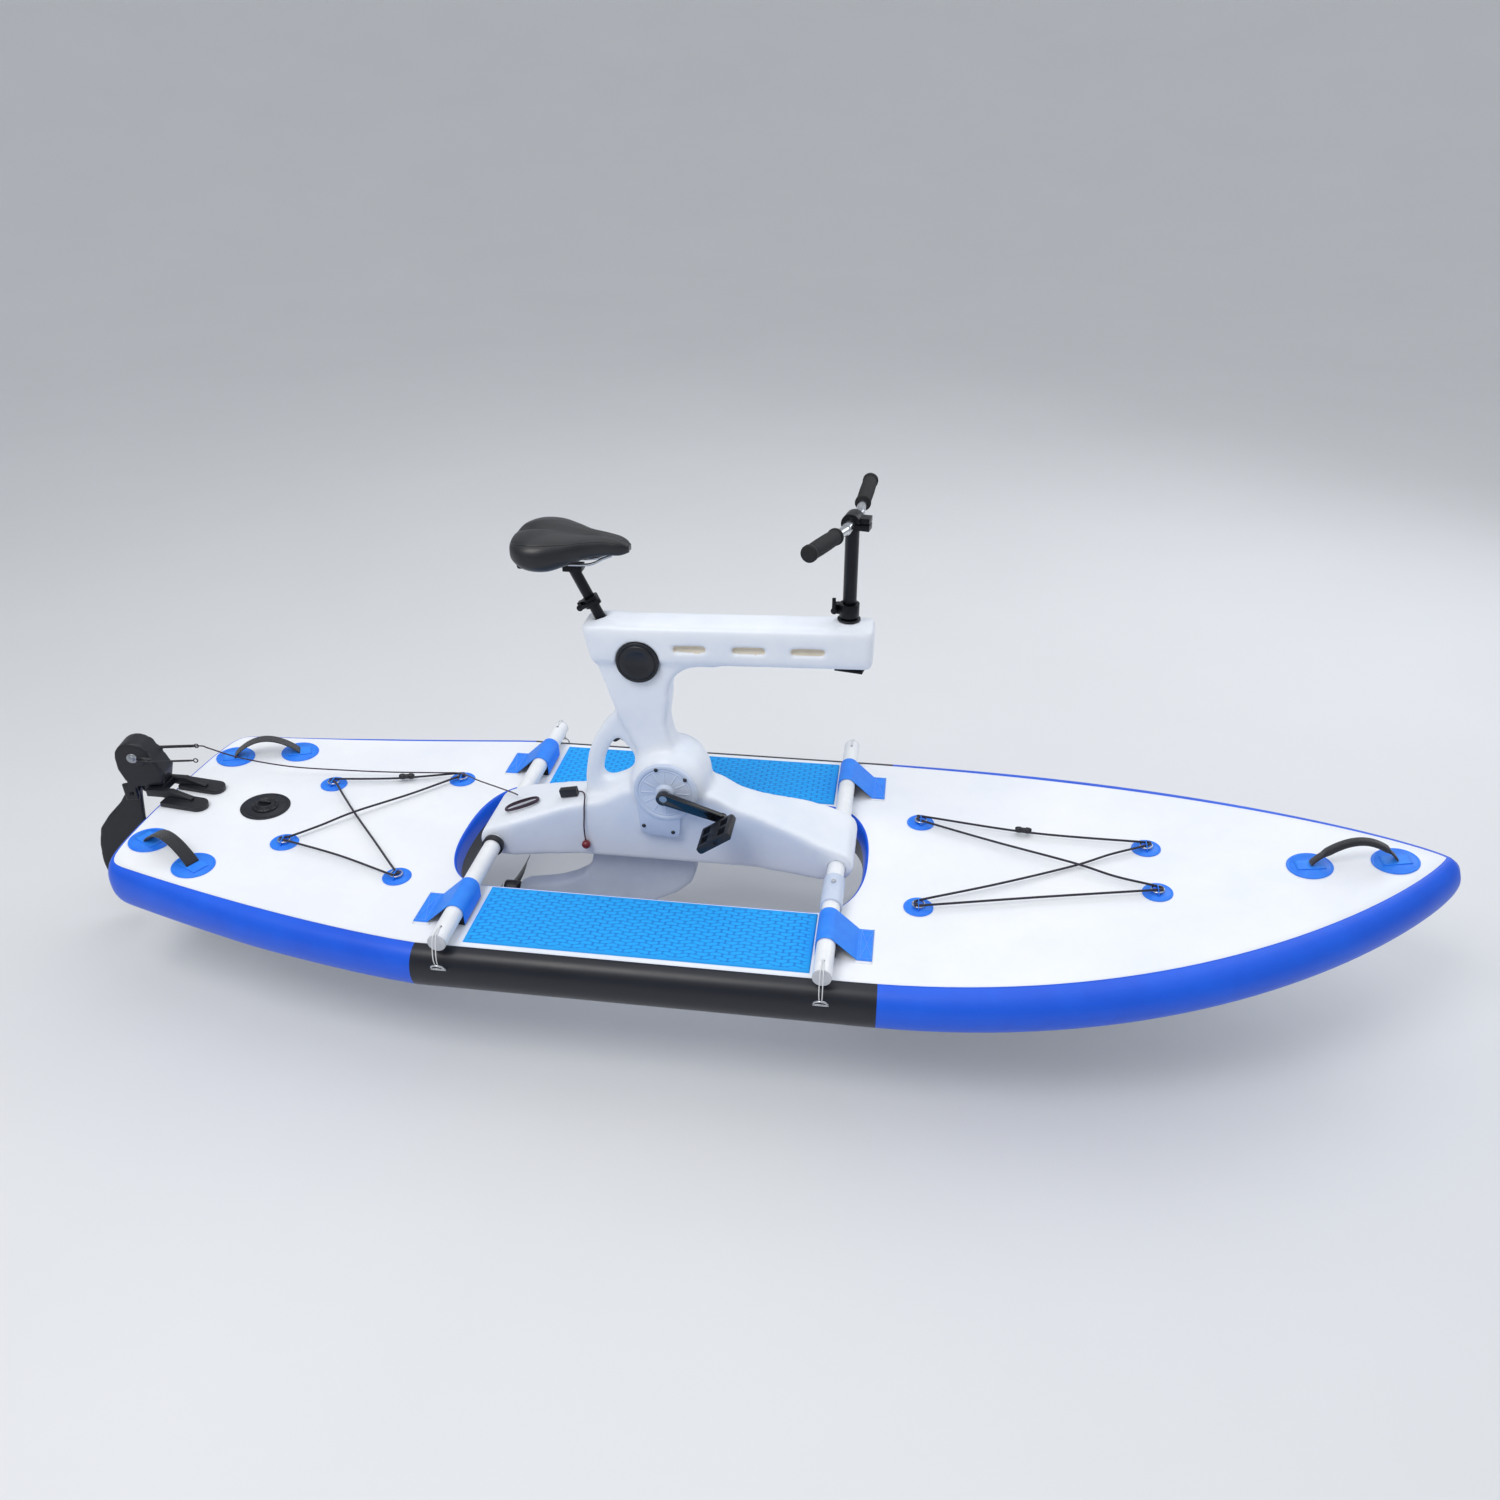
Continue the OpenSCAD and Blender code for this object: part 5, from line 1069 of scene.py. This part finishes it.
def build_coil():
    """Five spare turns of line on the frame, each a rounded rectangle that waves up and down twice."""
    a = np.linspace(0, 2 * math.pi, 64, endpoint=False)
    turns = []
    lean, yaw = math.radians(-17), math.radians(14)
    for k in range(5):
        half_l, half_w = 0.048 - 0.0022 * (k % 3), 0.019 - 0.0022 * (k % 3)
        flat = squircle(half_l, half_w, 2.6, 64)
        flat = flat + (0.0012 * math.sin(k * 2.1), 0.0010 * math.cos(k * 1.7))
        z = np.full(64, 0.002 + 0.0021 * (k // 2)) + 0.0008 * np.sin(a * 2 + k)
        p = np.column_stack([flat, z])
        p = p @ np.array([[math.cos(yaw), math.sin(yaw), 0], [-math.sin(yaw), math.cos(yaw), 0], [0, 0, 1]])
        p = p @ np.array([[math.cos(lean), 0, -math.sin(lean)], [0, 1, 0], [math.sin(lean), 0, math.cos(lean)]])
        turns.append(rings(p + (-0.402, -0.030, 0.233), circle(0.0019, 10), closed=True))
    bars("coil_turns", turns, PURPLE_LINE, "hull", "line_coil", "line", size=(0.0025, 0.0012), wrap_u=True)


def build_tail():
    """The line's hanging tail and the ball on its end."""
    tail = spline(TAIL_ROUTE, 10)
    cord = put("line_end", cord_mesh("line_end", tail, LINE_D, up=(1, 1, 0)), PURPLE_LINE, "hull", "line_tail")
    centre = tail[-1] - (0, 0, 0.012)
    t = np.radians(np.linspace(-88, 88, 40))
    profile = BALL_R * np.stack([np.cos(t), np.sin(t)], -1)
    profile[:, 0] += 0.0002 * (np.abs(t) < 0.05)
    collar = [(0.0022, 0.0112), (0.0042, 0.0112), (0.0044, 0.0132), (0.0036, 0.0148), (0.0022, 0.0150)]
    ball = put("ball_knob", lathe("ball_knob", [(profile, centre, (0, 0, 1)), (collar, centre, (0, 0, 1))], 40),
               BALL_RED, "hull", "line_ball")


build_rudder_line()
build_rod_eyes()
build_coil()
build_tail()


def build_rudder_bolts():
    """A domed bolt on its washer, on each side of the rudder head."""
    bolts = []
    dome = [(0.0001, -0.003), (0.0085, -0.003), (0.0085, 0.0012), (0.0074, 0.0024), (0.0050, 0.0036), (0.0038, 0.0038),
            (0.0036, 0.0026), (0.0001, 0.0026)]
    washer = [(0.0001, -0.003), (0.0150, -0.003), (0.0150, 0.0004), (0.0140, 0.0012), (0.0001, 0.0012)]
    for side in (1, -1):
        out = RUDDER_ACROSS * side
        centre = np.array([-1.530, 0, 0.296]) - RUDDER_AHEAD * 0.012 + out * 0.0340
        bolts += [(washer, centre, out), (dome, centre + out * 0.0012, out)]
    put("rudder_bolts", lathe("rudder_bolts", bolts, 32), BRUSHED, "rudder_head")


build_rudder_bolts()

# ---------------------------------------------------------------- hard parts that keep their CAD shape, edges rounded
rounded("leg_housing", 0.0034, 60, LEG_GREY, "hull")
rounded("rudder_blade", 0.0025, 60, BLACK_PLASTIC, "rudder_blade")
rounded("rudder_head", 0.0025, 55, BLACK_PLASTIC, "rudder_head",
        lambda p: np.where(abs(p[:, 1]) > 0.037, 0.25, 1.0))

BEVELLED = {
    # node: (bevel width, finish, body, slot)
    "rudder_bracket": (0.0025, BLACK_PLASTIC, "hull", "bracket"),
    "crank_starboard": (0.0028, GLOSS_BLACK, "crank", "crank"),
    "crank_port": (0.0028, GLOSS_BLACK, "crank", "crank"),
    "pedal_starboard": (0.0022, BLACK_PLASTIC, "pedal_starboard", "pedal"),
    "pedal_port": (0.0022, BLACK_PLASTIC, "pedal_port", "pedal"),
    "seat_clamp": (0.0012, BLACK_ANODISED, "hull", "clamp"),
    "seat_lever": (0.0014, BLACK_ANODISED, "seat_lever", "lever"),
    "seat_post": (0.0010, BLACK_ANODISED, "seat", "post"),
    "column": (0.0014, BLACK_ANODISED, "steerer", "column"),
    "column_lever": (0.0014, BLACK_ANODISED, "column_lever", "lever"),
    "riser": (0.0014, BLACK_ANODISED, "handlebar", "riser"),
    "cleat": (0.0020, BLACK_PLASTIC, "hull", "cleat"),
    "tube_collar": (0.0012, BLACK_PLASTIC, "hull", "collar"),
    "lock_sleeve": (0.0012, MOULD_SHADE, "hull", "sleeve"),
    "tube_caps": (0.0012, END_GREY, "hull", "tube_cap"),
    "tube_cradles": (0.0020, FOAM, "hull", "cradle"),
    "column_bushes": (0.0010, BLACK_PLASTIC, "hull", "bush"),
    "prop_nut": (0.0008, STEEL, "propeller", "shaft"),
}
for cad_node, settings in BEVELLED.items():
    bevelled(cad_node, *settings)

CAD_LOOKS = {
    "rear_tube": POWDER_WHITE, "front_tube": POWDER_WHITE, "tie_rings": STEEL, "lock_button": STEEL,
    "crank_bearings": BRUSHED, "crank_axle": BRUSHED, "crown_gear": BRUSHED, "drive_shaft": BRUSHED,
    "pinion": BRUSHED, "leg_bearings": BRUSHED, "leg_gear": BRUSHED, "prop_gear": BRUSHED, "prop_shaft": BRUSHED,
    "handlebar": CHROME,
}
for cad_node, cad_look in CAD_LOOKS.items():
    for material_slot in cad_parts[cad_node].material_slots:
        material_slot.material = cad_look


# ---------------------------------------------------------------- stage
def build_stage():
    """A pale floor that curves up far away on every side, soft lights overhead and a pale sky."""
    floor_z = -0.262
    t = np.linspace(-1, 1, 161)
    x, y = np.meshgrid(t * 32, t * 32, indexing="ij")
    far = np.maximum(np.hypot(x, y) - 9, 0)
    mesh = skin("floor", [np.stack([x, y, floor_z + 0.035 * far**2], -1)], caps=False)
    if mesh.polygons[0].normal.z < 0:
        mesh.flip_normals()
    floor = bpy.data.objects.new("floor", mesh)
    pale, paler = (0.76, 0.77, 0.79, 1), (0.78, 0.79, 0.81, 1)
    floor.data.materials.append(finish("floor_pale", pale, paler, 0.8, 0.8, 60.0, 0.02))
    bpy.context.scene.collection.objects.link(floor)
    world = bpy.data.worlds.new("sky")
    bpy.context.scene.world = world
    world.use_nodes = True
    sky = world.node_tree.nodes["Background"]
    sky.inputs["Color"].default_value = (0.93, 0.96, 1.0, 1)
    sky.inputs["Strength"].default_value = 0.62
    for name, spot, size, power, tint in (
            ("key", (-1.2, -2.6, 4.6), 2.2, 104, (1.0, 0.98, 0.95)),
            ("top", (0.8, 1.4, 5.0), 6.0, 78, (1.0, 1.0, 1.0)),
            ("rim", (3.6, 3.2, 2.8), 2.5, 40, (0.92, 0.96, 1.0))):
        lamp = bpy.data.lights.new(name, "AREA")
        lamp.size, lamp.energy, lamp.color = size, power, tint
        holder = bpy.data.objects.new(name, lamp)
        holder.location = spot
        holder.rotation_euler = (Vector((0.2, 0, 0.2)) - Vector(spot)).to_track_quat("-Z", "Y").to_euler()
        bpy.context.scene.collection.objects.link(holder)
    bpy.context.scene.view_settings.view_transform = "Standard"


build_stage()
